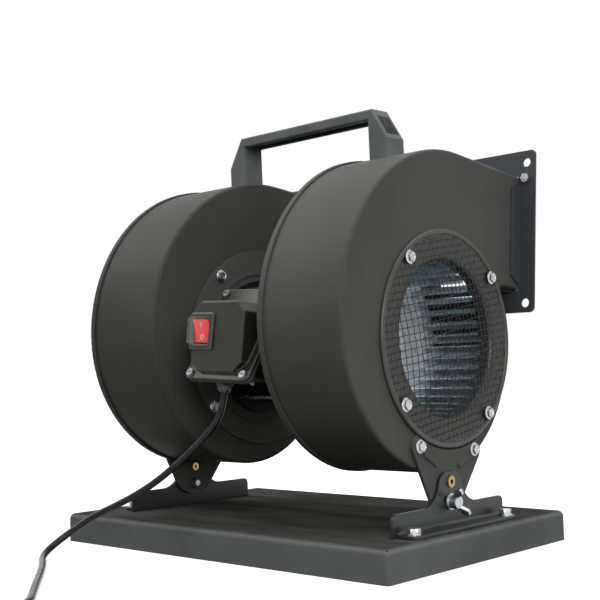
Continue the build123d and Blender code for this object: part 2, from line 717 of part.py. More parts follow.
def rotor_core():
    """The squirrel-cage rotor stack, pressed on the shaft."""
    half = STATOR_LENGTH / 2
    return rod(STATOR_BORE - AIR_GAP, -half, half) - rod(SHAFT_RADIUS, -half - 1, half + 1)


def impeller_disc(side):
    """The impeller's back disc, riveted to its hub."""
    disc = rod(BLADE_OUTER + IMPELLER_RIM / 2, IMPELLER_BACK - IMPELLER_RIM, IMPELLER_BACK)
    disc += rod(HUB_RADIUS, IMPELLER_BACK, IMPELLER_BACK + HUB_LENGTH)
    disc -= rod(SHAFT_RADIUS, IMPELLER_BACK - 2 * IMPELLER_RIM, IMPELLER_BACK + HUB_LENGTH + 1)
    disc -= Pos(grub_x(), 0, HUB_RADIUS) * Cylinder(GRUB_RADIUS, 2 * (HUB_RADIUS - SHAFT_RADIUS) + 1)
    return disc if side > 0 else mirror(disc, Plane.YZ)


def grub_x():
    """The grub screw's place along X, in the middle of the hub."""
    return IMPELLER_BACK + HUB_LENGTH / 2


def grub_screws():
    """One socket set screw in each hub, down on the shaft."""
    screw = Pos(grub_x(), 0, SHAFT_RADIUS + GRUB_LENGTH / 2) * Cylinder(GRUB_RADIUS, GRUB_LENGTH)
    return [screw, mirror(screw, Plane.YZ)]


def blade_section():
    """One forward-curved blade in (y, z): an arc of sheet from the inner to the outer diameter."""
    lean = radians(BLADE_LEAN)
    start = (BLADE_INNER, 0)
    end = (BLADE_OUTER * cos(lean), -BLADE_OUTER * sin(lean))
    return trace(RadiusArc(start, end, BLADE_CURVE), BLADE_THICKNESS)


def impeller_blades(side):
    """The ring of blades between the back disc and the front ring."""
    blade = slab(blade_section(), IMPELLER_BACK, IMPELLER_FRONT)
    blades = [Rot(360 / BLADES * number, 0, 0) * blade for number in range(BLADES)]
    return blades if side > 0 else [mirror(one, Plane.YZ) for one in blades]


def impeller_ring(side):
    """The ring that ties the blades together at the inlet end."""
    outer = BLADE_OUTER + IMPELLER_RIM / 2
    ring = rod(outer, IMPELLER_FRONT, IMPELLER_FRONT + IMPELLER_RIM)
    ring -= rod(outer - IMPELLER_RING_WIDTH, IMPELLER_FRONT - 1, IMPELLER_FRONT + IMPELLER_RIM + 1)
    return ring if side > 0 else mirror(ring, Plane.YZ)


def cover_plate(thickness, width, height, corner):
    """A rounded plate on the switch box's slope. Its outer face is at height 0 and it goes inwards."""
    return COVER_PLACE * Pos(0, 0, -thickness) * extrude(RectangleRounded(width, height, corner), thickness)


def wedge(inset, depth):
    """The raised switch panel: an upright chamfered block that grows out of the sloping cover."""
    width = PANEL_WIDTH - 2 * inset
    height = PANEL_TOP - PANEL_BOTTOM - 2 * inset
    block = extrude(Rectangle(width, height), depth)
    block = chamfer(block.edges().filter_by(Axis.Z), PANEL_CHAMFER - inset / 2)
    if inset == 0:
        block = fillet(block.faces().sort_by(Axis.Z)[-1].edges(), PANEL_ROUND)
    return BOX_PLACE * Pos(0, inset - PANEL_REACH, PANEL_CENTRE) * Rot(90, 0, 0) * Pos(0, 0, -depth) * block


def behind_slope(lift):
    """Everything behind the slope's plane, shifted outwards by lift, as one large block."""
    return COVER_PLACE * Pos(0, 0, lift - 100) * Box(300, 300, 200)


def cover_screw_places():
    """The cover screws' places in the cover's own plane."""
    return [(x, z) for x in (-COVER_SCREW_X, COVER_SCREW_X) for z in (-COVER_SCREW_ALONG, COVER_SCREW_ALONG)]


def switch_cutout(extra):
    """The switch body's outline, grown by extra, through the panel."""
    size = (SWITCH_WIDTH - 2 * SWITCH_STEP + extra, 60, SWITCH_HEIGHT - 2 * SWITCH_STEP + extra)
    return BOX_PLACE * Pos(SWITCH_X, -PANEL_REACH, SWITCH_Z) * Box(*size)


def switch_box_cover():
    """The moulded cover: a sloping flange with a raised upright panel for the switch."""
    outer = wedge(0, 60) - behind_slope(-COVER_THICKNESS)
    body = outer + cover_plate(COVER_THICKNESS, COVER_WIDTH, COVER_HEIGHT, COVER_CORNER)
    body -= wedge(BOX_WALL, 60) - behind_slope(-2 * COVER_THICKNESS)
    body -= switch_cutout(0.4)
    for x, z in cover_screw_places():
        body -= COVER_PLACE * Pos(x, z, 0) * Cylinder(M4 + 0.2, 4 * COVER_THICKNESS)
    return body


def cover_gasket():
    """The flat seal between the switch box's cover and base."""
    outline = RectangleRounded(COVER_WIDTH - 2, COVER_HEIGHT - 2, COVER_CORNER)
    outline -= RectangleRounded(PANEL_WIDTH - 2 * BOX_WALL, COVER_HEIGHT - 28, COVER_CORNER)
    for x, z in cover_screw_places():
        outline -= Pos(x, z) * Circle(M4 + 0.2)
    gasket = COVER_PLACE * Pos(0, 0, -COVER_THICKNESS - GASKET) * extrude(outline, GASKET)
    return gasket - switch_cutout(0.4)


def box_profile(inset):
    """The switch box's base seen from the side: it runs from the slope back into the motor casing."""
    slope = radians(COVER_SLOPE)
    half = COVER_HEIGHT / 2 - BOX_INSET
    low = (COVER_CENTRE_Y - half * sin(slope), COVER_CENTRE_Z - half * cos(slope) + inset)
    high = (COVER_CENTRE_Y + half * sin(slope), COVER_CENTRE_Z + half * cos(slope) - inset)
    return make_face(Polyline(low, high, (0, high[1]), (0, low[1]), close=True))


def switch_box_base():
    """The box behind the cover, saddled on the motor casing, with a hole for the cable gland."""
    half = COVER_WIDTH / 2 - BOX_INSET
    front = -COVER_THICKNESS - GASKET
    body = BOX_PLACE * slab(box_profile(0), -half, half) & behind_slope(front)
    flange = cover_plate(COVER_THICKNESS, COVER_WIDTH, COVER_HEIGHT, COVER_CORNER)
    body += COVER_PLACE * Pos(0, 0, front) * COVER_PLACE.inverse() * flange
    body -= rod(CASING_RADIUS, -COVER_WIDTH, COVER_WIDTH)
    room = BOX_PLACE * slab(box_profile(BOX_WALL), BOX_WALL - half, half - BOX_WALL)
    room -= rod(CASING_RADIUS + BOX_WALL, -COVER_WIDTH, COVER_WIDTH)
    for x, z in cover_screw_places():
        room -= COVER_PLACE * Pos(x, z, -20) * Cylinder(M4 + 2, 40)
    body -= room
    for x, z in cover_screw_places():
        body -= COVER_PLACE * Pos(x, z, front) * Cylinder(M4, 22)
    gland_hole = BOX_PLACE * Pos(GLAND_X, GLAND_Y, BOX_FLOOR) * Cylinder(GLAND_THREAD + 0.1, 20)
    return body - gland_hole


def cover_screws():
    """Four pan-head screws through the corners of the cover."""
    length = COVER_THICKNESS + GASKET + 10
    screw = Pos(0, 0, M4_HEAD_HEIGHT / 2) * Cylinder(M4_HEAD, M4_HEAD_HEIGHT)
    screw += Pos(0, 0, -length / 2) * Cylinder(M4, length)
    screw -= Pos(0, 0, M4_HEAD_HEIGHT) * Box(2 * M4_HEAD - 2, 1, 1.6)
    return [COVER_PLACE * Pos(x, z, 0) * screw for x, z in cover_screw_places()]


def capacitor():
    """The motor's run capacitor, lying across the switch box against its saddle wall."""
    can = rod(CAPACITOR_RADIUS, -CAPACITOR_LENGTH / 2, CAPACITOR_LENGTH / 2)
    can = fillet(can.edges(), 1.5)
    seat = CASING_RADIUS + BOX_WALL + CAPACITOR_RADIUS + SEAT_GAP
    place_z = COVER_CENTRE_Z + 10
    return Pos(BOX_SHIFT, -sqrt(seat**2 - place_z**2), place_z) * can


def terminal_block():
    """The terminal block on the floor of the switch box."""
    width, depth, height = TERMINAL_SIZE
    block = Box(width, depth, height)
    for number in (-1, 0, 1):
        block -= Pos(number * width / 3.3, 0, 0) * Cylinder(2, 2 * height)
    middle_y = GLAND_Y + GLAND_HEX + depth / 2 + 3
    return BOX_PLACE * Pos(0, middle_y, BOX_FLOOR + BOX_WALL + height / 2) * block


def switch_frame():
    """The rocker switch's bezel and body, open in the middle for the rocker."""
    bezel = extrude(RectangleRounded(SWITCH_WIDTH, SWITCH_HEIGHT, 2), SWITCH_BEZEL)
    width = SWITCH_WIDTH - 2 * SWITCH_STEP
    height = SWITCH_HEIGHT - 2 * SWITCH_STEP
    body = Pos(0, 0, -SWITCH_BODY_DEPTH / 2) * Box(width, height, SWITCH_BODY_DEPTH)
    frame = bezel + body
    well = Box(ROCKER_WIDTH + 2 * MOVING_GAP, ROCKER_HEIGHT + 2 * ROCKER_GAP, 14)
    frame -= Pos(0, 0, SWITCH_BEZEL) * well
    pin_end = ROCKER_WIDTH / 2 + ROCKER_PIN_PROUD + RUNNING_GAP
    frame -= rod(ROCKER_PIN + RUNNING_GAP, -pin_end, pin_end)
    return BOX_PLACE * Pos(SWITCH_X, -PANEL_REACH, SWITCH_Z) * Rot(90, 0, 0) * frame


def switch_rocker():
    """The rocker: a shallow V of two faces on a pin, pressed in at the bottom as it stands."""
    half = ROCKER_HEIGHT / 2
    high = SWITCH_BEZEL + ROCKER_PROUD
    drop = 2 * half * tan(radians(ROCKER_THROW))
    upper = (half - ROCKER_GAP, high)
    lower = (ROCKER_GAP - half, high - drop)
    middle = (0, high - drop / 2 - 0.9)
    profile = make_face(Polyline(lower, middle, upper, (3.5, -3), (-3.5, -3), close=True))
    rocker = slab(profile, -ROCKER_WIDTH / 2, ROCKER_WIDTH / 2)
    pin_end = ROCKER_WIDTH / 2 + ROCKER_PIN_PROUD
    rocker += rod(ROCKER_PIN, -pin_end, pin_end)
    return BOX_PLACE * Pos(SWITCH_X, -PANEL_REACH, SWITCH_Z) * Rot(90, 0, 0) * rocker


def rain_cap():
    """The soft clear cap over the rocker, a thin hollow hood that stands on the bezel."""
    outer = extrude(RectangleRounded(CAP_WIDTH, CAP_HEIGHT, 2.5), CAP_PROUD)
    outer = fillet(outer.faces().sort_by(Axis.Z)[-1].edges(), 2)
    inner = Box(CAP_WIDTH - 2 * CAP_WALL, CAP_HEIGHT - 2 * CAP_WALL, 2 * (CAP_PROUD - CAP_WALL))
    hood = outer - inner
    return BOX_PLACE * Pos(SWITCH_X, -PANEL_REACH - SWITCH_BEZEL, SWITCH_Z) * Rot(90, 0, 0) * hood


def cable_gland():
    """The gland's body: a hexagon under the box, its thread through the wall and a lock nut inside."""
    body = Pos(0, 0, -GLAND_HEX_HEIGHT) * hexagon(GLAND_HEX, GLAND_HEX_HEIGHT)
    inside = BOX_WALL + GLAND_LOCKNUT + THREAD_PROUD
    body += Pos(0, 0, inside / 2) * Cylinder(GLAND_THREAD, inside)
    body += Pos(0, 0, BOX_WALL) * hexagon(GLAND_HEX, GLAND_LOCKNUT)
    body -= Cylinder(CORD_RADIUS + MOVING_GAP, 60)
    return BOX_PLACE * Pos(GLAND_X, GLAND_Y, BOX_FLOOR) * body


def gland_nut():
    """The gland's cap nut, tapered towards the cord."""
    top = BOX_FLOOR - GLAND_HEX_HEIGHT
    body = Pos(0, 0, -GLAND_NUT_HEIGHT) * hexagon(GLAND_NUT_HEX, GLAND_NUT_HEIGHT)
    tip = Cone(GLAND_TIP_RADIUS, GLAND_NUT_HEX - 0.5, GLAND_TIP_LENGTH)
    body += Pos(0, 0, -GLAND_NUT_HEIGHT - GLAND_TIP_LENGTH / 2) * tip
    body -= Cylinder(CORD_RADIUS + MOVING_GAP, 60)
    return BOX_PLACE * Pos(GLAND_X, GLAND_Y, top) * body


def carry_handle():
    """The moulded bridge handle, with a screw pocket in each sloping end."""
    half = HANDLE_LENGTH / 2
    top = half - HANDLE_SLOPE_RUN
    leg = half - HANDLE_LEG
    under = HANDLE_HEIGHT - HANDLE_BAR
    sink = 2.0
    outline = make_face(Polyline(
        (-half, -sink), (-half, HANDLE_SHOULDER), (-top, HANDLE_HEIGHT), (top, HANDLE_HEIGHT),
        (half, HANDLE_SHOULDER), (half, -sink), (leg, -sink), (leg, under), (-leg, under), (-leg, -sink),
        close=True,
    ))
    body = extrude(Plane.XZ * outline, HANDLE_DEPTH / 2, both=True)
    lengthwise = body.edges().filter_by(lambda e: abs(abs(e.center().Y) - HANDLE_DEPTH / 2) < 0.01)
    lengthwise = lengthwise.filter_by(lambda e: e.center().Z > HANDLE_SHOULDER / 3)
    body = fillet(lengthwise, HANDLE_ROUND)
    channel = Box(2 * leg - 8, HANDLE_CHANNEL, 2 * HANDLE_CHANNEL_DEPTH)
    body -= Pos(0, 0, under) * channel
    pocket_start = leg + HANDLE_POCKET_WALL
    pocket_end = half - HANDLE_POCKET_WALL
    for side in SIDES.values():
        middle = side * (pocket_start + pocket_end) / 2
        pocket = Box(pocket_end - pocket_start, HANDLE_POCKET, 2 * HANDLE_HEIGHT)
        pocket = Pos(middle, 0, HANDLE_POCKET_FLOOR + HANDLE_HEIGHT) * pocket
        body -= pocket & slanted_end(side)
        body -= Pos(handle_screw_x(side), 0, 0) * Cylinder(M5_HOLE, 3 * HANDLE_HEIGHT / 2)
    body = handle_foot_angle() * body
    return body - rod(TOP_RADIUS, -half - 1, half + 1, *TOP_CENTRE)


def slanted_end(side):
    """The space that a screw pocket may take in the handle's end: under its sloping skin's top edge."""
    half = HANDLE_LENGTH / 2
    roof = HANDLE_HEIGHT - HANDLE_BAR / 2
    inner = half - HANDLE_LEG
    reach = [(inner, 0), (half + 1, 0), (half + 1, roof), (inner + HANDLE_POCKET / 2, roof),
             (inner, HANDLE_SHOULDER)]
    outline = make_face(Polyline(*[(side * x, z) for x, z in reach], close=True))
    return extrude(Plane.XZ * outline, HANDLE_DEPTH, both=True)


def handle_screws():
    """One flange bolt down each pocket into a nut under the drum's skin."""
    parts = []
    for side in SIDES.values():
        place = Pos(handle_screw_x(side), 0, 0) * handle_foot_angle()
        grip = HANDLE_POCKET_FLOOR + SHEET + M5_NUT_HEIGHT + THREAD_PROUD
        parts.append(place * Pos(0, 0, HANDLE_POCKET_FLOOR) * flange_bolt(grip))
        sag = TOP_RADIUS - SHEET - sqrt((TOP_RADIUS - SHEET) ** 2 - M5_HEX ** 2)
        seat = Pos(0, 0, -SHEET - sag) * Rot(180, 0, 0)
        parts.append(place * seat * nut(M5_HEX, M5_NUT_HEIGHT, M5))
    return parts


def arm_outline():
    """The tilt arm in (y, z): two ears at the drum, drawn together to a round foot at the pivot."""
    ears = [Pos(y, z) * Circle(ARM_EAR_RADIUS) for y, z in ARM_BOLTS]
    foot = Pos(0, -PIVOT_TO_SHAFT) * Circle(ARM_FOOT_RADIUS)
    outline = make_hull((ears[0] + ears[1] + foot).edges())
    return outline - Circle(RING_RADIUS + ARM_RING_GAP)


def arm_rib(side_y):
    """One of the arm's two pressed ribs, between an ear and the pivot."""
    outer = (side_y * (ARM_EAR_Y - ARM_RIB_SETBACK), ARM_EAR_Z - ARM_RIB_DROP)
    inner = (side_y * RIVET_TO_RIB, outer[1] - ARM_RIB_FALL)
    length = sqrt((outer[0] - inner[0]) ** 2 + (outer[1] - inner[1]) ** 2)
    angle = degrees(atan2(outer[1] - inner[1], outer[0] - inner[0]))
    middle = ((outer[0] + inner[0]) / 2, (outer[1] + inner[1]) / 2)
    return Pos(*middle) * Rot(0, 0, angle) * SlotCenterToCenter(length, ARM_RIB)


def tilt_arm(side):
    """The arm bolted to a drum's outer face, with pressed ribs and a weld nut for the wing screw."""
    arm = slab(arm_outline(), DRUM_OUTER, ARM_FACE)
    for side_y in (-1, 1):
        arm += slab(arm_rib(side_y), ARM_FACE, ARM_FACE + ARM_RIB_HEIGHT)
    clamp_z = -PIVOT_TO_SHAFT - CLAMP_RADIUS
    weld_nut = Pos(DRUM_OUTER, 0, clamp_z) * facing(-1) * hexagon(M6_HEX, WELD_NUT_HEIGHT)
    arm += weld_nut
    arm -= rod(WING_SHANK + RUNNING_GAP, DRUM_OUTER - 2 * WELD_NUT_HEIGHT, ARM_FACE + 1, 0, clamp_z)
    arm -= rod(RIVET_RADIUS + RUNNING_GAP, DRUM_OUTER - 1, ARM_FACE + 1, 0, -PIVOT_TO_SHAFT)
    for cut in drill(M5_HOLE, DRUM_OUTER - 1, ARM_FACE + 2, ARM_BOLTS):
        arm -= cut
    return arm if side > 0 else mirror(arm, Plane.YZ)


def foot_outline():
    """The upright of a foot bracket in (y, z) about the pivot: a lobe on two concave shoulders."""
    half = FOOT_LENGTH / 2
    floor = BASE_HEIGHT - PIVOT_HEIGHT
    shoulder = FOOT_SHOULDER - PIVOT_HEIGHT
    waist = FOOT_LOBE_HALF
    neck_end = waist + FOOT_NECK
    right = [
        Line((0, floor), (half, floor)),
        Line((half, floor), (half, shoulder - FOOT_CORNER)),
        CenterArc((half - FOOT_CORNER, shoulder - FOOT_CORNER), FOOT_CORNER, 0, 90),
        Line((half - FOOT_CORNER, shoulder), (neck_end, shoulder)),
        ThreePointArc((neck_end, shoulder), (waist + 7.0, shoulder + 6.5), (waist, 0)),
        ThreePointArc((waist, 0), (waist * 0.72, FOOT_LOBE_TOP * 0.72), (0, FOOT_LOBE_TOP)),
        Line((0, FOOT_LOBE_TOP), (0, floor)),
    ]
    half_face = make_face(right)
    return half_face + mirror(half_face, Plane.YZ)


def clamp_slot():
    """The arc slot under the pivot that the wing screw slides in."""
    spread = TILT_EACH_WAY + degrees(2 * MOVING_GAP / CLAMP_RADIUS)
    arc = CenterArc((0, 0), CLAMP_RADIUS, 270 - spread, 2 * spread)
    return SlotArc(arc, 2 * M6_HOLE)


def foot_bracket(side):
    """The folded foot: an upright with the pivot hole and arc slot, and a flange on the base."""
    inner = FOOT_FACE - PLATE
    upright = slab(foot_outline() - clamp_slot() - Circle(RIVET_RADIUS), inner, FOOT_FACE)
    length = FOOT_LENGTH - 2 * FOOT_CORNER
    floor = BASE_HEIGHT - PIVOT_HEIGHT
    flange = Box(PLATE + FOOT_FLANGE, length, PLATE)
    flange = fillet(flange.edges().filter_by(Axis.Z).group_by(Axis.X)[-1], FOOT_CORNER)
    upright += Pos(inner + (PLATE + FOOT_FLANGE) / 2, 0, floor + PLATE / 2) * flange
    inner_corner = upright.edges().filter_by(Axis.Y)
    inner_corner = inner_corner.sort_by_distance((FOOT_FACE, 0, floor + PLATE))[0]
    upright = fillet(inner_corner, FOOT_BEND)
    for bolt_y in foot_bolt_places():
        hole = Pos(FOOT_FACE + FOOT_BOLT_OUT, bolt_y, floor + PLATE / 2)
        upright -= hole * Cylinder(M6_HOLE, 3 * PLATE)
    foot = upright if side > 0 else mirror(upright, Plane.YZ)
    return Pos(BLOWER_SHIFT, PIVOT_Y, PIVOT_HEIGHT) * foot


def foot_bolt_places():
    """The foot bolts' places along Y, from the pivot."""
    return [-FOOT_BOLT_SPACING / 2, FOOT_BOLT_SPACING / 2]


def foot_places():
    """The foot bolts' places on the base."""
    out = FOOT_FACE + FOOT_BOLT_OUT
    return [Pos(BLOWER_SHIFT + side * out, PIVOT_Y + y, 0) for side in SIDES.values() for y in foot_bolt_places()]


def foot_bolts():
    """Four hex bolts through the feet and the base's top, each on a plain washer."""
    grip = M6_WASHER_HEIGHT + PLATE + SHEET + M6_NUT_HEIGHT + THREAD_PROUD
    bolt = hexagon(M6_HEX, M6_HEAD_HEIGHT) + Pos(0, 0, -grip / 2) * Cylinder(M6, grip)
    washer = Cylinder(M6_WASHER_RADIUS, M6_WASHER_HEIGHT) - Cylinder(M6_HOLE, 3 * M6_WASHER_HEIGHT)
    top = BASE_HEIGHT + PLATE + M6_WASHER_HEIGHT
    parts = [place * Pos(0, 0, top) * bolt for place in foot_places()]
    parts += [place * Pos(0, 0, top - M6_WASHER_HEIGHT / 2) * washer for place in foot_places()]
    return parts


def foot_nuts():
    """A nut on each foot bolt, under the base's top."""
    lift = BASE_HEIGHT - SHEET - M6_NUT_HEIGHT
    return [place * Pos(0, 0, lift) * nut(M6_HEX, M6_NUT_HEIGHT, M6) for place in foot_places()]


def pivot_rivets():
    """The tubular rivet that each arm turns on, headed outside and flared inside."""
    parts = []
    inner = DRUM_OUTER - MOVING_GAP
    rivet = rod(RIVET_RADIUS, inner, FOOT_FACE)
    rivet += rod(RIVET_HEAD, FOOT_FACE, FOOT_FACE + RIVET_HEAD_HEIGHT)
    rivet += rod(RIVET_FLARE, inner - RIVET_FLARE_HEIGHT, inner)
    rivet -= rod(RIVET_BORE, inner - 5, FOOT_FACE + 5)
    for side in SIDES.values():
        one = rivet if side > 0 else mirror(rivet, Plane.YZ)
        parts.append(Pos(BLOWER_SHIFT, PIVOT_Y, PIVOT_HEIGHT) * one)
    return parts


def wing_screw(side):
    """A wing screw with its washer: it clamps the arm through the foot's arc slot."""
    seat = FOOT_FACE + MOVING_GAP
    washer = rod(WING_WASHER, seat, seat + WING_WASHER_HEIGHT)
    hub_start = seat + WING_WASHER_HEIGHT
    hub = rod(WING_HUB, hub_start, hub_start + WING_HUB_LENGTH)
    shank = rod(WING_SHANK, DRUM_OUTER - WELD_NUT_HEIGHT - THREAD_PROUD, hub_start)
    tip_top = WING_RISE + WING_TIP_HEIGHT / 2
    tip_bottom = WING_RISE - WING_TIP_HEIGHT / 2
    wing_root_top = WING_HUB_LENGTH - THREAD_PROUD
    wing = Polyline((0, WING_ROOT), (WING_HUB, WING_ROOT), (WING_SPAN, tip_bottom), (WING_SPAN, tip_top),
                    (WING_SPAN - WING_TIP_HEIGHT, tip_top), (WING_HUB - WING_ROOT / 2, wing_root_top),
                    (0, wing_root_top), close=True)
    wing = make_face(wing)
    tip = wing.vertices().filter_by(lambda v: v.X > WING_HUB + 1)
    wing = fillet(tip, WING_TIP_HEIGHT * 0.35)
    wing = extrude(Plane.XZ * wing, WING_THICKNESS / 2, both=True)
    wings = wing + Rot(0, 0, 180) * wing
    turned_wings = Pos(hub_start, 0, 0) * facing(1) * Rot(0, 0, WING_TURN) * wings
    screw = washer + hub + shank + turned_wings
    screw = Pos(0, 0, -PIVOT_TO_SHAFT - CLAMP_RADIUS) * screw
    return screw if side > 0 else mirror(screw, Plane.YZ)


def base_tray():
    """The base: a folded sheet tray, open below, with its edges turned in as a lip."""
    body = Pos(0, 0, BASE_HEIGHT / 2) * Box(BASE_LENGTH, BASE_DEPTH, BASE_HEIGHT)
    body = fillet(body.edges().filter_by(Axis.Z), BASE_BEND / 2)
    body = fillet(body.faces().sort_by(Axis.Z)[-1].edges(), BASE_BEND)
    room = BASE_HEIGHT - 2 * SHEET
    body -= Pos(0, 0, BASE_HEIGHT / 2) * Box(BASE_LENGTH - 2 * SHEET, BASE_DEPTH - 2 * SHEET, room)
    body -= Box(BASE_LENGTH - 2 * BASE_LIP, BASE_DEPTH - 2 * BASE_LIP, BASE_HEIGHT)
    for place in foot_places():
        body -= place * Pos(0, 0, BASE_HEIGHT) * Cylinder(M6_HOLE, 4 * SHEET)
    return body


def base_plate():
    """The plate that closes the tray: its rim lies on the lip and its middle is pressed down flush."""
    rim_length = BASE_LENGTH - 2 * SHEET - 2 * COVER_GAP
    rim_depth = BASE_DEPTH - 2 * SHEET - 2 * COVER_GAP
    length = BASE_LENGTH - 2 * BASE_LIP - 2 * COVER_GAP
    depth = BASE_DEPTH - 2 * BASE_LIP - 2 * COVER_GAP
    plate = Pos(0, 0, SHEET * 3 / 2) * Box(rim_length, rim_depth, SHEET)
    plate += Pos(0, 0, SHEET) * Box(length, depth, 2 * SHEET)
    return plate - Pos(0, 0, 2 * SHEET) * Box(length - 2 * SHEET, depth - 2 * SHEET, 2 * SHEET)


def cord_tube(route):
    """A round cord along straight runs joined by tangent arcs, as large as the runs allow."""
    points = [Vector(*point) for point in route]
    radii = []
    for before, here, after in zip(points, points[1:], points[2:]):
        turn = radians((here - before).get_angle(after - here))
        run = min((here - before).length, (after - here).length)
        radii.append(0.45 * run / tan(turn / 2))
    print("cord radii", [round(radius) for radius in radii])
    path = FilletPolyline(*points, radius=radii)
    start = Plane(origin=points[0], z_dir=points[1] - points[0])
    tube = sweep(start * Circle(CORD_RADIUS), path=path.wire())
    section = pi * CORD_RADIUS ** 2
    length = path.wire().length
    print("cord length", round(length, 1), "volume share", round(tube.volume / section / length, 4))
    return tube


def power_cord():
    """The cord from the gland down to the floor and forward into the coil."""
    in_gland = (REST * BOX_PLACE * Pos(GLAND_X, GLAND_Y, GLAND_TIP + CORD_IN_GLAND)).position
    return cord_tube([tuple(in_gland), *CORD_ROUTE])


def cord_tail():
    """The cord's end, out of the coil's outer turn and up into the plug lying beside it."""
    reach = COIL_RADIUS + COIL_WIDTH / 2 - CORD_RADIUS
    angle = radians(COIL_EXIT)
    start = (COIL_CENTRE[0] + reach * cos(angle), COIL_CENTRE[1] + reach * sin(angle), CORD_RADIUS)
    return cord_tube([start, *TAIL_ROUTE])


def mains_plug():
    """The moulded plug, lying on its rim: a round body with a recess for an earth pin, a grip and two pins."""
    grip_start = PLUG_FACE + PLUG_SHOULDER
    tail_start = grip_start + PLUG_GRIP
    end = tail_start + PLUG_TAIL
    profile = [
        (0, 0), (0, PLUG_RADIUS), (PLUG_FACE, PLUG_RADIUS), (grip_start, PLUG_GRIP_RADIUS),
        (tail_start, PLUG_GRIP_RADIUS), (end, PLUG_TAIL_RADIUS), (end, 0),
    ]
    plug = turned(profile)
    plug = fillet(plug.edges().filter_by(GeomType.CIRCLE).sort_by(Axis.X)[0], DRAWN_EDGE)
    plug -= rod(PIN_RADIUS, -1, PLUG_FACE - 1, 0, EARTH_HOLE)
    for side in SIDES.values():
        plug += rod(PIN_RADIUS, -PIN_LENGTH, 1, side * PIN_SPACING / 2)
    before, rear = Vector(*TAIL_ROUTE[-2]), Vector(*TAIL_ROUTE[-1])
    heading = degrees(atan2(before.Y - rear.Y, before.X - rear.X))
    lift = Pos(rear.X, rear.Y, PLUG_RADIUS) * Rot(0, 0, heading)
    return lift * Pos(-end, 0, 0) * plug


def cord_coil():
    """The outer shape of the coil that the rest of the cord is wound into."""
    outer = COIL_RADIUS + COIL_WIDTH / 2
    inner = COIL_RADIUS - COIL_WIDTH / 2
    ring = Cylinder(outer, COIL_HEIGHT) - Cylinder(inner, 2 * COIL_HEIGHT)
    ring = fillet(ring.edges(), CORD_RADIUS * 0.9)
    return Pos(COIL_CENTRE[0], COIL_CENTRE[1], COIL_HEIGHT / 2) * ring


def save(name, solids, place=None):
    """Writes one sub-part, one solid or several, to its own file."""
    solids = solids if isinstance(solids, list) else [solids]
    pieces = [piece for item in solids for piece in item.solids()]
    if place is not None:
        pieces = [place * piece for piece in pieces]
    export_step(pieces[0] if len(pieces) == 1 else Compound(pieces), f"parts/{name}.step")


def main():
    os.makedirs("parts", exist_ok=True)
    save("base_tray", base_tray())
    save("base_plate", base_plate())
    save("foot_bolts", foot_bolts())
    save("foot_nuts", foot_nuts())
    save("pivot_rivets", pivot_rivets())
    save("power_cord", power_cord())
    save("cord_coil", cord_coil())
    save("cord_tail", cord_tail())
    save("mains_plug", mains_plug())
    for name, side in SIDES.items():
        save(f"{name}_foot_bracket", foot_bracket(side))
        for part in (tilt_arm, housing_shell, housing_cover, outlet_flange, inlet_ring, inlet_guard, motor_plate,
                     end_shield, impeller_disc, impeller_blades, impeller_ring, wing_screw):
            save(f"{name}_{part.__name__}", part(side), REST)
    for part in (arm_fasteners, flange_fasteners, guard_fasteners, motor_plate_fasteners, motor_casing, tie_bolts,
                 motor_bearings, stator_core, stator_windings, motor_shaft, rotor_core, grub_screws,
                 switch_box_base, switch_box_cover, cover_gasket, cover_screws, capacitor, terminal_block,
                 switch_frame, switch_rocker, rain_cap, cable_gland, gland_nut, carry_handle, handle_screws):
        save(part.__name__, part(), REST)


main()
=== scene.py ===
"""Looks of a twin-drum radial blower on a tilting stand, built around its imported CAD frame."""
import json
from math import cos, pi, radians, sin, sqrt, tan

import bmesh
import bpy
from mathutils import Matrix, Vector


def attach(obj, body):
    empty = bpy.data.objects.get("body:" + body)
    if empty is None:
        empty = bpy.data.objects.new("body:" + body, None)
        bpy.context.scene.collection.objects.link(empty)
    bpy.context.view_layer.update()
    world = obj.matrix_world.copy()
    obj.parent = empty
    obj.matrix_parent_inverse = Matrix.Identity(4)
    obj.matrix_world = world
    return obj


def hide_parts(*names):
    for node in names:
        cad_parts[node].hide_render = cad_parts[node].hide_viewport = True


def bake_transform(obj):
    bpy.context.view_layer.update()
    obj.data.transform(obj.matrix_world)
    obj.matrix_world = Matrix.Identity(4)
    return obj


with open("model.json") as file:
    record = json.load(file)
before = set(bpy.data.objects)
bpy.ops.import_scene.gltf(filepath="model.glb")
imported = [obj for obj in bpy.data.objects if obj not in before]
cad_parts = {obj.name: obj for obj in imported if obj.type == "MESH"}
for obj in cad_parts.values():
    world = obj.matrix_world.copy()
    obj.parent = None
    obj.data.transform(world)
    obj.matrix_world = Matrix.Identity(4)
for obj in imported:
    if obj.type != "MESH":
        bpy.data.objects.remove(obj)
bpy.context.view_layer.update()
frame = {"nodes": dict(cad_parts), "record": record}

MM = 0.001
SIDES = {"left": -1, "right": 1}
ARC_STEPS = 8

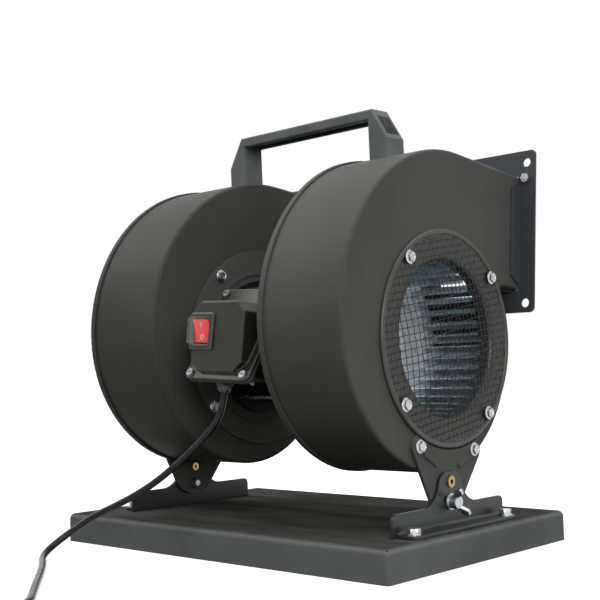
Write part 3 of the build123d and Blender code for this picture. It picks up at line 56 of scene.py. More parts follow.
# Sizes shared with the solids, in millimetres
BLOWER_SHIFT = 11.0
PIVOT_Y = -12.0
PIVOT_HEIGHT = 65.3
PIVOT_TO_SHAFT = 122.2
REST_TILT = 5.6
SHEET = 1.5
PLATE = 3.0
DRUM_INNER = 67.5
DRUM_OUTER = 157.5
RING_FACE = DRUM_OUTER + SHEET
RING_RADIUS = 94.8
RING_MOUTH = 72.0
RING_DEPTH = 11.0
MOUTH_CURVE = 5.0
GUARD_RIM = 2.0
GUARD_RIM_WIDTH = 5.0
GUARD_PITCH = 6.0
GUARD_LAYER = 1.0
GUARD_WIRE_RADIUS = 0.32
GUARD_WIRE_SIDES = 6
GUARD_DOME = 5.0
GUARD_DOME_RADIUS = 76.0
GUARD_CREST_RADIUS = 46.0
GUARD_TURN = 15.0
GUARD_END_GAP = 0.3
WEAVE_STEPS = 4
GUARD_BOLT_CIRCLE = 86.5
MOTOR_BOLT_CIRCLE = 88.5
MOTOR_PLATE_THICKNESS = 2.5
ARM_EAR = (39.6, -94.2)
ARM_FACE = DRUM_OUTER + PLATE
ARM_TO_FOOT = 0.3
FOOT_BOLT_OUT = 10.2
FOOT_BOLT_SPACING = 135.0
FOOT_FACE = ARM_FACE + ARM_TO_FOOT + PLATE
BASE_HEIGHT = 27.0

# The fasteners, in millimetres: radii and heights, and hexagons by half their width across flats
SEAT_GAP = 0.02
BOLT_TIP = 0.4
M5_SHANK = 2.45
M5_REACH = 5.0
M5_FLANGE = 5.9
M5_FLANGE_TOP = 1.05
M5_HEX = 4.0
M5_HEAD_TOP = 3.7
M5_DIMPLE = 2.7
M5_NUT_FACE = 4.0
M6_SHANK = 2.95
M6_REACH = 10.6
M6_HEX = 5.0
M6_HEAD_TOP = 5.6
M6_DIMPLE = 3.4
WASHER = 6.0
WASHER_HOLE = 3.0
WASHER_HEIGHT = 1.6
TURN_PER_BOLT = 23.0
FOOT_BOLT_TURN = (17.0, 9.0)

# The switch, in millimetres
BOX_SHIFT = 4.0
BOX_TWIST = 2.8
PANEL_REACH = 128.0
PANEL_WIDTH = 64.0
PANEL_TOP = 26.2
PANEL_BOTTOM = -36.0
SWITCH_WIDTH = 28.6
SWITCH_OVERHANG = 1.3
SWITCH_LIFT = 3.9
SWITCH_X = (SWITCH_WIDTH - PANEL_WIDTH) / 2 - SWITCH_OVERHANG
SWITCH_Z = (PANEL_TOP + PANEL_BOTTOM) / 2 + SWITCH_LIFT
SWITCH_BEZEL = 2.0
ROCKER_WIDTH = 19.5
ROCKER_HEIGHT = 22.0
ROCKER_PROUD = 2.2
ROCKER_THROW = 12.0
ROCKER_GAP = 0.6
ROCKER_DIP = 0.9
ROCKER_ROUNDING = 0.6
ROCKER_STEPS = 14
ROCKER_KEEL = (3.5, -3.0)
ROCKER_CREASE = 40.0
MARK_SINK = -0.2
MARK_RISE = 0.12
BAR_PLACE = 0.52
LOOP_PLACE = -0.5

# The cord, in millimetres. Where its points stand at CORD_RADIUS it lies on the stand's own floor.
CORD_RADIUS = 3.1
CORD_SIDES = 16
COIL_CENTRE = (3.0, -394.0)
COIL_ROWS = (40.2, 34.0, 27.8)
COIL_START = -32.0
COIL_END = -110.0
COIL_TURNS = 6
COIL_POINTS_A_TURN = 16
STEP_OVER = 0.2
CORD_ROUTE = [
    (9.64, -114.75, 149.79),
    (8.6, -117.0, 127.0),
    (-4.5, -124.0, 108.0),
    (-24.0, -136.0, 86.5),
    (-50.0, -148.0, 64.5),
    (-80.0, -160.0, 47.5),
    (-107.0, -171.0, 35.5),
    (-122.5, -182.5, 23.0),
    (-129.5, -196.0, 13.0),
    (-128.0, -209.0, 6.0),
    (-117.0, -220.5, CORD_RADIUS),
    (-97.0, -233.5, CORD_RADIUS),
    (-66.0, -256.0, CORD_RADIUS),
    (-28.0, -286.0, CORD_RADIUS),
    (8.0, -313.5, CORD_RADIUS),
    (33.0, -333.0, CORD_RADIUS),
    (46.0, -353.0, CORD_RADIUS),
    (48.5, -376.0, CORD_RADIUS),
    (45.0, -397.0, CORD_RADIUS),
]
TAIL_ROUTE = [
    (-29.0, -430.0, 10.5),
    (-44.0, -425.0, 11.0),
    (-58.0, -418.5, 15.0),
    (-71.0, -411.0, 18.5),
    (-82.0, -403.5, 18.5),
]

# The camera, in metres and degrees, and its focal length in the photograph's pixels
CAMERA_PLACE = (0.71065, -0.77996, 0.16254)
CAMERA_AZIMUTH = 42.445
CAMERA_ELEVATION = -3.683
CAMERA_ROLL = -1.536
FOCAL_LENGTH = 1088.86
PICTURE_WIDTH = 600
SENSOR_WIDTH = 36.0

# The studio, in metres and watts: each lamp's name, place, aim, size and power
FLOOR_REACH = 6.0
FLOOR_DROP = 0.0002
PAPER = 0.85
PAPER_LIFT = 0.4
SKY_BELOW = 0.03
SKY_ABOVE = 1.32
CLIP_END = 50.0
LAMPS = [
    ("top", (0.1, 0.3, 2.2), (0.0, 0.0, 0.2), 2.0, 20.0),
    ("left", (-1.55, -0.80, 1.75), (0.0, 0.0, 0.2), 1.0, 14.0),
    ("right", (1.9, -1.2, 0.9), (0.1, 0.0, 0.2), 1.2, 19.0),
]

# The blower's middle on the shaft's line, the switch's place on its panel, and the stand's own frame
BLOWER = (
    Matrix.Translation((BLOWER_SHIFT, PIVOT_Y, PIVOT_HEIGHT))
    @ Matrix.Rotation(radians(-REST_TILT), 4, "X")
    @ Matrix.Translation((0, 0, PIVOT_TO_SHAFT))
)
SWITCH = (
    BLOWER
    @ Matrix.Translation((BOX_SHIFT, 0, 0))
    @ Matrix.Rotation(radians(BOX_TWIST), 4, "Y")
    @ Matrix.Translation((SWITCH_X, -PANEL_REACH, SWITCH_Z))
    @ Matrix.Rotation(radians(90), 4, "X")
)
WORLD = Matrix.Identity(4)


def add_node(tree, kind, settings=None, sockets=None):
    """Adds a node, makes its settings, and then gives each named or numbered socket its value or link."""
    node = tree.nodes.new(kind)
    for name, value in (settings or {}).items():
        setattr(node, name, value)
    for key, value in (sockets or {}).items():
        if isinstance(value, Wire):
            tree.links.new(value.socket, node.inputs[key])
        elif isinstance(value, bpy.types.NodeSocket):
            tree.links.new(value, node.inputs[key])
        else:
            node.inputs[key].default_value = value
    return node


class Wire:
    """A shader socket that takes part in sums as a number does."""

    def __init__(self, tree, socket):
        self.tree = tree
        self.socket = socket

    def maths(self, operation, first, second):
        """The wire that a Math node makes of two others or numbers."""
        node = add_node(self.tree, "ShaderNodeMath", {"operation": operation}, {0: first, 1: second})
        return Wire(self.tree, node.outputs[0])

    def __add__(self, other):
        return self.maths("ADD", self, other)

    def __rmul__(self, other):
        return self.maths("MULTIPLY", other, self)

    def larger(self, other):
        """The larger of two values."""
        return self.maths("MAXIMUM", self, other)

    def spread(self, low, high, to_low=0.0, to_high=1.0):
        """The value mapped from one range to another and held inside it."""
        sockets = {0: self, 1: low, 2: high, 3: to_low, 4: to_high}
        node = add_node(self.tree, "ShaderNodeMapRange", {"clamp": True}, sockets)
        return Wire(self.tree, node.outputs[0])


class Finish:
    """A material under construction: a Principled shader and the patterns that feed it."""

    def __init__(self, name, colour, roughness, metallic=0.0):
        self.material = bpy.data.materials.new(name)
        self.material.use_nodes = True
        self.tree = self.material.node_tree
        self.shader = self.tree.nodes["Principled BSDF"]
        self.fixed(Base_Color=(*colour, 1.0), Roughness=roughness, Metallic=metallic)
        self.material.diffuse_color = (*colour, 1.0)
        self.place = self.node("ShaderNodeTexCoord").outputs["Object"]

    def node(self, kind, settings=None, sockets=None):
        """Adds a node to the material."""
        return add_node(self.tree, kind, settings, sockets)

    def stretched(self, scale, turn=(0.0, 0.0, 0.0)):
        """Object coordinates scaled differently along each axis."""
        sockets = {"Vector": self.place, "Scale": scale, "Rotation": turn}
        return self.node("ShaderNodeMapping", None, sockets).outputs["Vector"]

    def noise(self, scale, detail=2.0, place=None, rough=0.5):
        """Cloudy noise, with so many cells to the metre."""
        sockets = {"Vector": place or self.place, "Scale": scale, "Detail": detail, "Roughness": rough}
        return Wire(self.tree, self.node("ShaderNodeTexNoise", None, sockets).outputs["Fac"])

    def cells(self, scale):
        """Angular patches, with so many to the metre."""
        sockets = {"Vector": self.place, "Scale": scale}
        return Wire(self.tree, self.node("ShaderNodeTexVoronoi", None, sockets).outputs["Distance"])

    def mixed(self, amount, first, second):
        """A colour between two others, each a shade or a link."""
        sockets = {0: amount}
        for key, colour in ((6, first), (7, second)):
            sockets[key] = colour if isinstance(colour, bpy.types.NodeSocket) else (*colour, 1.0)
        return self.node("ShaderNodeMix", {"data_type": "RGBA"}, sockets).outputs[2]

    def tint(self, amount, dark, light):
        """Base colour between two shades or links by a pattern."""
        self.tree.links.new(self.mixed(amount, dark, light), self.shader.inputs["Base Color"])

    def facing_up(self):
        """One where the surface lies flat and faces up, nought where it stands upright."""
        normal = self.node("ShaderNodeNewGeometry").outputs["Normal"]
        height = self.node("ShaderNodeSeparateXYZ", None, {0: normal}).outputs["Z"]
        return Wire(self.tree, height).spread(0.6, 0.98)

    def rounded(self, radius):
        """The surface's normal with its edges rounded to a radius."""
        return self.node("ShaderNodeBevel", {"samples": 6}, {"Radius": radius}).outputs["Normal"]

    def edges(self, radius):
        """One on the edges that the Bevel node rounds, nought on the faces between them."""
        plain = self.node("ShaderNodeNewGeometry").outputs["Normal"]
        sockets = {0: self.rounded(radius), 1: plain}
        match = self.node("ShaderNodeVectorMath", {"operation": "DOT_PRODUCT"}, sockets)
        return Wire(self.tree, match.outputs["Value"]).spread(0.99, 0.88)

    def drive(self, name, wire):
        """Feeds one of the shader's inputs from a pattern."""
        self.tree.links.new(wire.socket, self.shader.inputs[name])

    def bump(self, height, depth, edge=None):
        """Surface relief: depth is the pattern's height in metres, edge the radius of softened edges."""
        sockets = {"Strength": 1.0, "Distance": depth, "Height": height}
        if edge:
            sockets["Normal"] = self.rounded(edge)
        relief = self.node("ShaderNodeBump", None, sockets)
        self.tree.links.new(relief.outputs["Normal"], self.shader.inputs["Normal"])

    def fixed(self, **values):
        """Gives the shader's inputs their constants, each named with _ for a space."""
        for name, value in values.items():
            self.shader.inputs[name.replace("_", " ")].default_value = value


def shade(colour, factor):
    """A colour made darker or lighter by a factor."""
    return tuple(min(1.0, part * factor) for part in colour)


def coat(name, base, rough=0.46, gloss=0.05, edge=0.0007):
    """Satin powder coat: fine orange peel, slow cloudiness, a few dust specks and softened edges."""
    finish = Finish(name, base, rough)
    peel = finish.noise(900, 3, rough=0.6)
    cloud = finish.noise(9, 3)
    specks = finish.noise(420, 2).spread(0.70, 0.78)
    finish.tint(0.7 * cloud.spread(0.35, 0.7) + 0.5 * specks, shade(base, 0.88), shade(base, 1.2))
    finish.drive("Roughness", cloud.spread(0.3, 0.75, rough - 0.05, rough + 0.04) + 0.05 * peel)
    finish.bump(peel, 0.00006, edge)
    finish.fixed(Specular_IOR_Level=gloss)
    return finish.material


def base_coat():
    """The base's coat: grey down its sides, lightened there as painted sheen, and darker on its top as
    painted shade, with streaks of wear.
    """
    finish = Finish("base_coat", (0.100, 0.104, 0.104), 0.6)
    peel = finish.noise(700, 3, rough=0.55)
    cloud = finish.noise(12, 4)
    streaks = finish.noise(11, 6, place=finish.stretched((1.0, 3.2, 1.0), (0, 0, 0.5)), rough=0.6)
    # Painted sheen: the sides' lighter greys stand in for gloss from the front lamps.
    sides = finish.mixed(cloud.spread(0.3, 0.7), (0.122, 0.127, 0.126), (0.168, 0.173, 0.171))
    # Painted shade: the top's darker greys stand in for shade under the drums; the streaks across them are
    # wear.
    top = finish.mixed(streaks.spread(0.38, 0.66), (0.040, 0.041, 0.038), (0.076, 0.077, 0.073))
    # The facing-up mask puts the painted shade on the top and the painted sheen on the sides.
    finish.tint(finish.facing_up(), sides, top)
    finish.drive("Roughness", cloud.spread(0.3, 0.75, 0.66, 0.78))
    finish.bump(peel, 0.00005, 0.0009)
    finish.fixed(Specular_IOR_Level=0.0)
    return finish.material


def zinc(name="zinc_steel", base=(0.56, 0.57, 0.59)):
    """Bright zinc plating with a faint milky bloom."""
    finish = Finish(name, base, 0.3, 1.0)
    bloom = finish.noise(260, 4)
    finish.tint(bloom.spread(0.3, 0.7), shade(base, 0.74), shade(base, 1.1))
    finish.drive("Roughness", bloom.spread(0.3, 0.7, 0.22, 0.42))
    finish.bump(finish.noise(1500, 2), 0.00002)
    return finish.material


def galvanised(name="galvanised_sheet", base=(0.68, 0.78, 0.86), metallic=0.85):
    """Galvanised sheet: pale bluish spangle."""
    finish = Finish(name, base, 0.3, metallic)
    spangle = finish.cells(120)
    bloom = finish.noise(70, 3)
    finish.tint(0.5 * spangle.spread(0.1, 0.8) + 0.5 * bloom, shade(base, 0.8), shade(base, 1.25))
    finish.drive("Roughness", bloom.spread(0.3, 0.7, 0.24, 0.38))
    return finish.material


def moulding(name, base, rough, gloss, edge=0.0012, edge_highlight=0.0):
    """Fine spark-textured moulding with softened edges, which carry a painted highlight, lightened towards
    grey by the given amount.
    """
    finish = Finish(name, base, rough)
    grain = finish.noise(1300, 3, rough=0.65)
    cloud = finish.noise(20, 2)
    even = finish.mixed(cloud.spread(0.3, 0.7), shade(base, 0.85), shade(base, 1.25))
    # Painted highlight: the rounded edges are mixed towards grey.
    finish.tint(edge_highlight * finish.edges(edge), even, (0.5, 0.5, 0.5))
    finish.drive("Roughness", grain.spread(0.3, 0.7, rough - 0.05, rough + 0.07))
    finish.bump(grain, 0.00008, edge)
    finish.fixed(Specular_IOR_Level=gloss)
    return finish.material


def red_plastic():
    """Translucent red rocker moulding, with a faint painted red glow that brightens it."""
    base = (0.74, 0.012, 0.010)
    finish = Finish("red_plastic", base, 0.22)
    cloud = finish.noise(180, 2)
    finish.tint(cloud.spread(0.3, 0.7), shade(base, 0.85), shade(base, 1.12))
    # Painted glow: the red emission brightens the rocker, which holds no lamp.
    finish.fixed(Emission_Color=(1.0, 0.0, 0.0, 1.0), Emission_Strength=0.28, Coat_Weight=0.1,
                 Subsurface_Weight=0.1, Subsurface_Radius=(0.004, 0.001, 0.001))
    return finish.material


def clear_vinyl():
    """The clear soft cap: thin, glossy and slightly hazed."""
    finish = Finish("clear_vinyl", (0.86, 0.88, 0.89), 0.12)
    haze = finish.noise(140, 3)
    finish.drive("Roughness", haze.spread(0.3, 0.7, 0.07, 0.2))
    finish.drive("Alpha", haze.spread(0.2, 0.8, 0.02, 0.06))
    finish.fixed(Specular_IOR_Level=0.7)
    return finish.material


def cord_sheath():
    """Smooth black flexible sheath."""
    base = (0.014, 0.014, 0.015)
    finish = Finish("cord_sheath", base, 0.36)
    cloud = finish.noise(60, 3)
    finish.tint(cloud.spread(0.3, 0.7), shade(base, 0.8), shade(base, 1.5))
    finish.drive("Roughness", cloud.spread(0.3, 0.7, 0.18, 0.28))
    finish.bump(finish.noise(500, 2), 0.00003)
    finish.fixed(Specular_IOR_Level=0.2)
    return finish.material


def grained(name, base, rough, scale, metallic=0.0):
    """Machined metal, a plain moulding or varnish, with slight unevenness."""
    finish = Finish(name, base, rough, metallic)
    grain = finish.noise(scale, 4)
    finish.tint(grain.spread(0.3, 0.7), shade(base, 0.82), shade(base, 1.15))
    finish.drive("Roughness", grain.spread(0.3, 0.7, rough - 0.07, rough + 0.07))
    finish.bump(grain, 0.00004)
    return finish.material


def laminations():
    """A stack of thin steel sheets seen on edge."""
    base = (0.30, 0.29, 0.27)
    finish = Finish("lamination_stack", base, 0.45, 0.8)
    edges = finish.noise(300, 1, place=finish.stretched((4.0, 0.02, 0.02)))
    finish.tint(edges.spread(0.4, 0.6), shade(base, 0.6), shade(base, 1.2))
    finish.bump(edges, 0.0001)
    return finish.material


FINISHES = {
    "powder_coat": coat("powder_coat", (0.091, 0.093, 0.085)),
    # A darker copy of the powder coat for the left drum's shell and cover: painted shade.
    "shaded_drum_coat": coat("shaded_drum_coat", (0.066, 0.067, 0.061)),
    "motor_coat": coat("motor_coat", (0.009, 0.0095, 0.010), 0.5, 0.06),
    "ring_coat": coat("ring_coat", (0.046, 0.046, 0.043), 0.3, 0.5, edge=0.001),
    "foot_coat": coat("foot_coat", (0.018, 0.019, 0.020), 0.3, 0.5, edge=0.0012),
    "flange_coat": coat("flange_coat", (0.058, 0.065, 0.072), 0.42, 0.2),
    "guard_coat": coat("guard_coat", (0.010, 0.011, 0.012), 0.36, 0.3, edge=0),
    "base_coat": base_coat(),
    "zinc_steel": zinc(),
    # A darker copy of the bright zinc for the tie bolts: painted shade.
    "shaded_zinc": zinc("shaded_zinc", (0.30, 0.31, 0.32)),
    # A dark, dull copy of zinc for the cover screws: painted shade that holds back their lamp highlights.
    "shaded_screw_plating": grained("shaded_screw_plating", (0.28, 0.285, 0.29), 0.55, 400, 1.0),
    "yellow_zinc": zinc("yellow_zinc", (0.44, 0.35, 0.15)),
    "galvanised_sheet": galvanised(),
    # A paler, less metallic copy of the galvanised sheet for the impellers' discs: painted light inside the
    # drums.
    "painted_light_disc": galvanised("painted_light_disc", (0.80, 0.93, 1.0), 0.3),
    # Painted highlights: black_plastic, nut_plastic and handle_plastic lighten their edges towards grey.
    "black_plastic": moulding("black_plastic", (0.021, 0.0235, 0.0150), 0.34, 0.30, edge=0.003, edge_highlight=0.3),
    "gland_plastic": moulding("gland_plastic", (0.075, 0.083, 0.094), 0.4, 0.3, edge=0.0005),
    "nut_plastic": moulding("nut_plastic", (0.012, 0.012, 0.013), 0.3, 0.5, edge=0.0005, edge_highlight=0.4),
    "handle_plastic": moulding("handle_plastic", (0.134, 0.147, 0.145), 0.5, 0.05, edge_highlight=0.06),
    "red_plastic": red_plastic(),
    "clear_vinyl": clear_vinyl(),
    "cord_sheath": cord_sheath(),
    "ground_steel": grained("ground_steel", (0.60, 0.60, 0.61), 0.25, 200, 1.0),
    "lamination_stack": laminations(),
    "enamelled_copper": grained("enamelled_copper", (0.55, 0.20, 0.07), 0.35, 800),
    "seal_rubber": grained("seal_rubber", (0.03, 0.03, 0.03), 0.7, 300),
    "white_plastic": grained("white_plastic", (0.80, 0.80, 0.78), 0.4, 200),
    "mark_paint": grained("mark_paint", (0.85, 0.85, 0.83), 0.5, 400),
}
NODE_FINISHES = {
    "base_tray": "base_coat",
    "base_plate": "base_coat",
    "left_foot_bracket": "foot_coat",
    "right_foot_bracket": "foot_coat",
    # The left drum takes the darker copy of the powder coat: painted shade.
    "left_housing_shell": "shaded_drum_coat",
    "left_housing_cover": "shaded_drum_coat",
    "left_outlet_flange": "flange_coat",
    "right_outlet_flange": "flange_coat",
    "left_end_shield": "motor_coat",
    "right_end_shield": "motor_coat",
    "motor_casing": "motor_coat",
    # Painted shade: the tie bolts take the darker copy of the zinc.
    "tie_bolts": "shaded_zinc",
    # Painted shade: the cover screws take the dark, dull zinc.
    "cover_screws": "shaded_screw_plating",
    "cable_gland": "gland_plastic",
    "gland_nut": "nut_plastic",
    # Painted light: the impeller discs take the paler copy of the galvanised sheet.
    "left_impeller_disc": "painted_light_disc",
    "right_impeller_disc": "painted_light_disc",
    "carry_handle": "handle_plastic",
}


def dress_frame():
    """Gives every CAD node its slot's finish, or the one NODE_FINISHES names, some of them copies carrying
    painted shade and light.
    """
    for part in frame["record"]["subparts"]:
        node = frame["nodes"][part["node"]]
        node.data.materials.clear()
        node.data.materials.append(FINISHES[NODE_FINISHES.get(part["node"], part["material_slot"])])


def piece(name, mesh, finish, body, angle=35.0, instead_of=()):
    """Shows a mesh as a piece that rides on a body, when one is given, and takes its finish by name from
    FINISHES.
    """
    thing = bpy.data.objects.new(name, mesh)
    bpy.context.scene.collection.objects.link(thing)
    mesh.materials.clear()
    mesh.materials.append(FINISHES[finish])
    for face in mesh.polygons:
        face.use_smooth = True
        face.material_index = 0
    mesh.set_sharp_from_angle(angle=radians(angle))
    if body:
        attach(thing, body)
    if instead_of:
        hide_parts(*instead_of)
    return thing


def settle(mesh, matrix=WORLD):
    """Moves a mesh in millimetres to its place in metres."""
    mesh.transform(Matrix.Scale(MM, 4) @ matrix)
    return mesh


def mesh_of(shape, name="shape"):
    """A bmesh as a mesh with its faces turned outwards."""
    bmesh.ops.recalc_face_normals(shape, faces=shape.faces)
    mesh = bpy.data.meshes.new(name)
    shape.to_mesh(mesh)
    shape.free()
    return mesh


def joined(shapes):
    """Several bmeshes as one."""
    whole = bmesh.new()
    for shape in shapes:
        mesh = mesh_of(shape)
        whole.from_mesh(mesh)
        bpy.data.meshes.remove(mesh)
    return whole


def baked(thing, name):
    """The mesh that an object gives once its modifiers are applied. The object is removed."""
    depsgraph = bpy.context.evaluated_depsgraph_get()
    mesh = bpy.data.meshes.new_from_object(thing.evaluated_get(depsgraph))
    mesh.name = name
    bpy.data.objects.remove(thing)
    return mesh


def lathe(profile, steps=96):
    """A closed bmesh turned about X from its half section in (x, r)."""
    shape = bmesh.new()
    verts = [shape.verts.new((x, 0.0, r)) for x, r in profile]
    edges = [shape.edges.new(pair) for pair in zip(verts, verts[1:] + verts[:1])]
    bmesh.ops.spin(shape, geom=verts + edges, cent=(0, 0, 0), axis=(1, 0, 0), angle=2 * pi, steps=steps,
                   use_merge=True)
    bmesh.ops.remove_doubles(shape, verts=shape.verts, dist=0.0005)
    return shape


def lofted(rings):
    """A closed bmesh through rings of points, flat across the first and the last."""
    shape = bmesh.new()
    rows = [[shape.verts.new(point) for point in ring] for ring in rings]
    for low, high in zip(rows, rows[1:]):
        for i in range(len(low)):
            j = (i + 1) % len(low)
            shape.faces.new((low[i], low[j], high[j], high[i]))
    shape.faces.new(rows[0])
    shape.faces.new(rows[-1])
    return shape


def round_ring(radius, z, steps=24):
    """A circle's outline at height z."""
    return [(radius * cos(2 * pi * i / steps), radius * sin(2 * pi * i / steps), z) for i in range(steps)]


def hex_ring(apothem, z, limit=1e3, steps=24):
    """A hexagon's outline, cut off where it would stand further out than limit."""
    ring = []
    for i in range(steps):
        angle = 360 * i / steps
        reach = min(limit, apothem / cos(radians((angle + 30) % 60 - 30)))
        ring.append((reach * cos(radians(angle)), reach * sin(radians(angle)), z))
    return ring


def grown(name, base, finish, sizes, grow):
    """The mesh that a Geometry Nodes tree grows from a base mesh. Its sizes are named inputs."""
    carrier = bpy.data.objects.new(name, base)
    bpy.context.scene.collection.objects.link(carrier)
    tree = bpy.data.node_groups.new(name, "GeometryNodeTree")
    tree.interface.new_socket("Geometry", in_out="INPUT", socket_type="NodeSocketGeometry")
    tree.interface.new_socket("Geometry", in_out="OUTPUT", socket_type="NodeSocketGeometry")
    keys = {}
    for label, value in sizes.items():
        kind = {float: "NodeSocketFloat", int: "NodeSocketInt"}.get(type(value), "NodeSocketObject")
        keys[label] = tree.interface.new_socket(label, in_out="INPUT", socket_type=kind).identifier
    start = add_node(tree, "NodeGroupInput")
    real = add_node(tree, "GeometryNodeRealizeInstances", None, {0: grow(tree, start.outputs)})
    dressed = add_node(tree, "GeometryNodeSetMaterial", None,
                       {"Geometry": real.outputs[0], "Material": FINISHES[finish]})
    add_node(tree, "NodeGroupOutput", None, {0: dressed.outputs[0]})
    modifier = carrier.modifiers.new(name, "NODES")
    modifier.node_group = tree
    for label, value in sizes.items():
        modifier[keys[label]] = value
    return baked(carrier, name)


def copies(name, unit, places, finish, matrix=WORLD):
    """Copies of a unit mesh at a list of places, as one mesh in metres."""
    source = bpy.data.objects.new(name + "_unit", unit)
    bpy.context.scene.collection.objects.link(source)
    points = bpy.data.meshes.new(name + "_points")
    points.from_pydata([place.to_translation() for place in places], [], [])
    turns = points.attributes.new("turn", "FLOAT_VECTOR", "POINT")
    for entry, place in zip(turns.data, places):
        entry.vector = place.to_euler()

    def grow(tree, inputs):
        info = add_node(tree, "GeometryNodeObjectInfo", None, {"Object": inputs["Unit"]})
        turn = add_node(tree, "GeometryNodeInputNamedAttribute", {"data_type": "FLOAT_VECTOR"},
                        {"Name": "turn"})
        sockets = {"Points": inputs["Geometry"], "Instance": info.outputs["Geometry"],
                   "Rotation": turn.outputs["Attribute"]}
        return add_node(tree, "GeometryNodeInstanceOnPoints", None, sockets).outputs[0]

    mesh = grown(name, points, finish, {"Unit": source}, grow)
    bpy.data.objects.remove(source)
    return settle(mesh, matrix)


def round_wires(name, runs, radius, sides, finish):
    """Round wires along runs of points."""
    base = bpy.data.meshes.new(name)
    edges = []
    start = 0
    for run in runs:
        edges += [(start + i, start + i + 1) for i in range(len(run) - 1)]
        start += len(run)
    base.from_pydata([point for run in runs for point in run], edges, [])

    def grow(tree, inputs):
        line = add_node(tree, "GeometryNodeMeshToCurve", None, {"Mesh": inputs["Geometry"]})
        section = add_node(tree, "GeometryNodeCurvePrimitiveCircle", None,
                           {"Resolution": inputs["Sides"], "Radius": inputs["Radius"]})
        sockets = {"Curve": line.outputs[0], "Profile Curve": section.outputs[0], "Fill Caps": True}
        return add_node(tree, "GeometryNodeCurveToMesh", None, sockets).outputs[0]

    return grown(name, base, finish, {"Radius": radius, "Sides": sides}, grow)


def facing(side):
    """Turns a thing that stands on z = 0 so that it stands on a face looking along side * X."""
    return Matrix.Rotation(radians(90 * side), 4, "Y")


def four_corners(radius):
    """Four bolts' places on a circle, half way between its upright and its level diameter."""
    return [(radius * cos(radians(a)), radius * sin(radians(a))) for a in (45, 135, 225, 315)]


def flange_bolt(stack):
    """A flange bolt on z = 0 with its shank down through a stack of sheet and its nut behind."""
    tip = -stack - M5_REACH
    bolt = lofted([
        round_ring(M5_SHANK - 0.35, tip),
        round_ring(M5_SHANK, tip + BOLT_TIP),
        round_ring(M5_SHANK, SEAT_GAP),
        round_ring(M5_FLANGE - 0.2, SEAT_GAP),
        round_ring(M5_FLANGE, SEAT_GAP + 0.28),
        round_ring(M5_FLANGE, M5_FLANGE_TOP - 0.25),
        round_ring(M5_FLANGE - 0.3, M5_FLANGE_TOP),
        hex_ring(M5_HEX, M5_FLANGE_TOP + 0.45),
        hex_ring(M5_HEX, M5_HEAD_TOP - 0.6),
        hex_ring(M5_HEX, M5_HEAD_TOP - 0.2, M5_HEX + 0.15),
        round_ring(M5_HEX - 0.4, M5_HEAD_TOP),
        round_ring(M5_DIMPLE, M5_HEAD_TOP),
        round_ring(M5_DIMPLE - 0.3, M5_HEAD_TOP - 0.3),
    ])
    return mesh_of(joined([bolt, hex_nut(M5_HEX, -stack - M5_NUT_FACE, M5_NUT_FACE - SEAT_GAP)]))


def hex_nut(apothem, low, height):
    """A plain nut, chamfered on its outer face."""
    return lofted([
        round_ring(apothem * 0.9, low),
        hex_ring(apothem, low + 0.3, apothem * 1.06),
        hex_ring(apothem, low + 0.6),
        hex_ring(apothem, low + height),
    ])


def foot_bolt():
    """A hex bolt on its washer, which lies on z = 0."""
    washer = lofted([
        round_ring(WASHER, 0.0),
        round_ring(WASHER, WASHER_HEIGHT - 0.2),
        round_ring(WASHER - 0.2, WASHER_HEIGHT),
        round_ring(WASHER_HOLE, WASHER_HEIGHT),
    ])
    head = lofted([
        round_ring(M6_SHANK - 0.25, -M6_REACH),
        round_ring(M6_SHANK, -M6_REACH + BOLT_TIP),
        round_ring(M6_SHANK, WASHER_HEIGHT - 0.1),
        round_ring(M6_HEX - 0.3, WASHER_HEIGHT),
        hex_ring(M6_HEX, WASHER_HEIGHT + 0.2),
        hex_ring(M6_HEX, M6_HEAD_TOP - 0.7),
        hex_ring(M6_HEX, M6_HEAD_TOP - 0.2, M6_HEX + 0.25),
        round_ring(M6_HEX - 0.4, M6_HEAD_TOP),
        round_ring(M6_DIMPLE, M6_HEAD_TOP),
    ])
    return mesh_of(joined([washer, head]))


def on_face(side, reach, y, z, spin=0.0):
    """The place of a fastener that stands on a face looking along side * X."""
    return Matrix.Translation((reach, y, z)) @ facing(side) @ Matrix.Rotation(radians(spin), 4, "Z")


